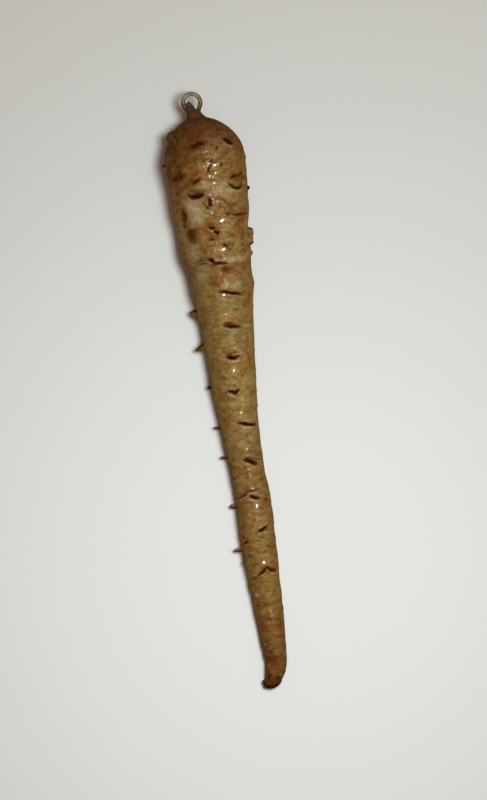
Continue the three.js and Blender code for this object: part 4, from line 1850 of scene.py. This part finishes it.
@dataclass
class WireEye:
    """The hanging eye: a shank in the neck, a ring, and a tail that ends inside the ring.

    Points of the rise, the tail and the web are measured from the middle of the ring. The web is
    the flat fill of lacquer in the ring's foot, and each of its points also gives its radius there.
    """

    finish: TarnishedWire
    wire_diameter: float = 1.85
    ring_along: float = -4.8
    ring_across: float = -3.04
    ring_radius: float = 3.4
    shank_offset: float = -0.6
    shank_depth: float = 15.0
    rise: tuple[tuple[float, float, float], ...] = ((-1.6, -3.6, 0.0), (-2.8, -2.1, 0.0))
    tail: tuple[tuple[float, float, float], ...] = (
        (3.0, -1.9, 0.0),
        (2.3, -3.2, 0.1),
        (1.3, -3.9, 0.3),
        (0.4, -3.3, 0.5),
        (-0.2, -2.3, 0.7),
        (-0.75, -1.35, 0.9),
        (-1.3, -0.6, 1.0),
        (-1.95, 0.1, 1.1),
    )
    web: tuple[tuple[float, float, float, float], ...] = (
        (-0.3, -5.4, 0.0, 2.3),
        (-0.7, -3.9, 0.1, 2.2),
        (-1.5, -2.4, 0.2, 1.8),
        (-2.2, -1.1, 0.2, 1.0),
    )
    web_thickness: float = 0.7
    bend_angles: tuple[int, ...] = (180, 150, 120, 90, 60, 30, 0)
    end_taper: float = 60.0
    dent_depth: float = 0.06
    dent_size: float = 1.3
    dent_seed: int = 71
    smear_seed: int = 72
    cut_starts: float = 0.84
    cut_faces: tuple[float, float] = (0.81, 0.58)
    rings: int = 260
    web_rings: int = 30
    sides: int = 28

    def path(self) -> Array:
        """The middle line of the wire, about the middle of the ring.

        Returns:
            Points from the end of the shank to the end of the tail.
        """
        depths = (self.shank_depth, self.shank_depth / 2, 2, 0)
        points = [(self.shank_offset, self.ring_along - depth, 0.0) for depth in depths]
        points += self.rise
        for angle in self.bend_angles:
            turn = math.radians(angle)
            points.append((self.ring_radius * math.cos(turn), self.ring_radius * math.sin(turn), 0))
        return line_through(points + list(self.tail), self.rings)

    def build(self, form: RootForm, frame: Frame) -> bpy.types.Object:
        """Makes the wire and dresses it.

        Args:
            form: The shape of the root, which gives the height of the eye.
            frame: Where the root lies.

        Returns:
            The finished piece.
        """
        path = self.path()
        filed = np.clip(np.linspace(1, -self.end_taper, self.rings)[::-1], 0, 1)
        radii = self.wire_diameter / 2 * np.sqrt(1 - 0.5 * filed**2)
        web = line_through(self.web, self.web_rings)
        points, faces = np.empty((0, 3)), []
        kept: dict[Stain | Trait, list[Array]] = {Trait.SMEAR: [], Stain.DARK: []}
        for line, girth, thin in ((path, radii, 1.0), (web[:, :3], web[:, 3], self.web_thickness)):
            tube, outward = sweep(line, girth, self.sides, (0, 0, 1), thin)
            dents = self.dent_depth * lattice_noise(tube / self.dent_size, self.dent_seed)
            tube += outward * dents[..., None]
            faces += tube_faces(len(line), self.sides, len(points))
            corners = np.concatenate([tube.reshape(-1, 3), line[:1], line[-1:]])
            points = np.concatenate([points, corners])
            shade_and_stain = self._shade_and_stain(tube, outward, line is path)
            kept[Stain.DARK].append(np.concatenate([shade_and_stain.ravel(), [0, 0.9]]))
            kept[Trait.SMEAR].append(self._smear(corners, 0.0 if line is path else 1.0))
        joined = {label: np.concatenate(parts) for label, parts in kept.items()}
        lift = (self.ring_across, -self.ring_along, float(form.height(form.crown_widest)))
        piece = mesh_piece("eye_wire", frame.to_metres(points + lift), faces, joined)
        piece.data.materials.append(self.finish.material())
        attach(piece, "root")
        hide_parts("hanging_eye")
        return piece

    def _smear(self, corners: Array, least: float) -> Array:
        """Runs lacquer over the wire, most of it near the neck.

        Args:
            corners: The points of the wire.
            least: How much lacquer there is everywhere.

        Returns:
            How much lacquer is at each point, from 0 to 1.
        """
        ragged = 0.6 * lattice_noise(corners / 0.9, self.smear_seed)
        reach = corners[:, 1] + 0.2 * corners[:, 0] + ragged
        return np.maximum(smooth_step(-0.2, -1.2, reach), least)

    def _shade_and_stain(self, tube: Array, outward: Array, round_tail: bool) -> Array:
        """Finds where the wire is darkened: painted shade along its sides, stronger low on the
        ring, and a black edge beside the tail.

        Args:
            tube: The rings of points.
            outward: The way out from the wire at each point.
            round_tail: Whether the last stretch is the tail, which has one black edge.

        Returns:
            How dark each point is made, from 0 to 1.
        """
        # Painted shade: sides that turn away from the light above are darkened, more so low on the
        # ring.
        sides = 0.75 * smooth_step(0.55, 0.05, outward[..., 2])
        low = smooth_step(1.0, -3.0, tube[..., 1])
        shade_and_stain = sides * (0.55 + 0.45 * low)
        if round_tail:
            last = np.arange(len(tube)) > self.cut_starts * len(tube)
            edge = outward[..., 0] * self.cut_faces[0] + outward[..., 1] * self.cut_faces[1]
            shade_and_stain = np.maximum(shade_and_stain, last[:, None] * smooth_step(-0.3, 0.1, edge))
        return shade_and_stain


# ------------------------------------------------------------------------------ the studio


@dataclass
class Studio:
    """The pale floor, the soft light and the camera above."""

    floor_size: float = 3.0
    floor_drop: float = 0.0001
    light_direction: tuple[float, float, float] = (0.19, 0.1, 0.977)
    light_distance: float = 1.0
    light_size: float = 0.25
    soft_size: float = 0.8
    light_colour: Tint = (1.0, 1.09, 1.08)
    pool_colour: Tint = (1.0, 1.06, 1.16)
    key_power: float = 4.6
    soft_power: float = 0.8
    pool_power: float = 15.8
    pool_width: float = 28.0
    pool_middle: tuple[float, float] = (0.0, -0.088)
    room_strength: float = 0.14
    room_colour: Tint = (1.0, 0.58, 0.38)
    view_length: float = 0.320
    view_across: float = 1.4
    roll: float = -7.775
    sensor: float = 36.0

    def lay_floor(self) -> None:
        """Lays the floor just under the root."""
        half = self.floor_size / 2
        corners = np.array([(-half, -half), (half, -half), (half, half), (-half, half)])
        points = np.column_stack([corners, np.full(4, -self.floor_drop)])
        floor = mesh_piece("floor", points, [(0, 1, 2, 3)])
        floor.data.materials.append(PlainPaper().material())

    def hang_light(
        self,
        lamp: bpy.types.Light,
        middle: Sequence[float],
        power: float,
        colour: Tint,
    ) -> None:
        """Hangs one light so that it shines on a place on the floor.

        Args:
            lamp: The light.
            middle: The place it shines on.
            power: Its power in watts.
            colour: Its colour.
        """
        direction = Vector(self.light_direction).normalized()
        lamp.energy = power
        lamp.color = colour
        light = bpy.data.objects.new(lamp.name, lamp)
        light.location = Vector((*middle, 0)) + direction * self.light_distance
        light.rotation_euler = direction.to_track_quat("Z", "Y").to_euler()
        bpy.context.scene.collection.objects.link(light)

    def light_up(self) -> None:
        """Hangs the lights, one of them a wide soft box, and sets the dim room round them."""
        sizes = (
            ("key_light", self.light_size, self.key_power),
            ("soft_box", self.soft_size, self.soft_power),
        )
        for name, size, power in sizes:
            lamp = bpy.data.lights.new(name, "AREA")
            lamp.shape = "DISK"
            lamp.size = size
            self.hang_light(lamp, (0, 0), power, self.light_colour)
        pool = bpy.data.lights.new("pool_light", "SPOT")
        pool.spot_size = math.radians(self.pool_width)
        pool.spot_blend = 1.0
        pool.shadow_soft_size = self.light_size / 2
        self.hang_light(pool, self.pool_middle, self.pool_power, self.pool_colour)
        self._build_room()
        bpy.context.scene.view_settings.view_transform = "Standard"

    def _build_room(self) -> None:
        """Makes a dim, warm room round the object."""
        room = bpy.data.worlds.new("soft_room")
        room.use_nodes = True
        background = room.node_tree.nodes["Background"]
        background.inputs["Color"].default_value = (*self.room_colour, 1.0)
        background.inputs["Strength"].default_value = self.room_strength
        bpy.context.scene.world = room

    def set_camera(self, frame: Frame) -> None:
        """Sets the camera straight above the root.

        Args:
            frame: Where the root lies.
        """
        lens = bpy.data.cameras.new("camera")
        lens.sensor_width = self.sensor
        lens.lens = self.sensor * CAMERA_HEIGHT * MM / self.view_length
        camera = bpy.data.objects.new("camera", lens)
        level = CAMERA_HEIGHT + TRUE_LEVEL
        camera.location = frame.to_metres(np.array([self.view_across, -CAMERA_ALONG, level]))
        camera.rotation_euler = (0, 0, math.radians(self.roll))
        bpy.context.scene.collection.objects.link(camera)
        bpy.context.scene.camera = camera


def main() -> None:
    """Builds the object's pieces in order, then the studio round them."""
    logging.basicConfig(level=logging.INFO, format="%(name)s: %(message)s")
    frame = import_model()
    LOG.info("frame with %d nodes", len(frame["nodes"]))
    form = RootForm()
    eye = WireEye(TarnishedWire())
    place = Frame.read(eye)
    root = Root(form, LacqueredSkin()).build(place)
    LOG.info("%s: %d faces", root.name, len(root.data.polygons))
    wire = eye.build(form, place)
    LOG.info("%s: %d faces", wire.name, len(wire.data.polygons))
    studio = Studio()
    studio.lay_floor()
    studio.light_up()
    studio.set_camera(place)


if __name__ == "__main__":
    main()
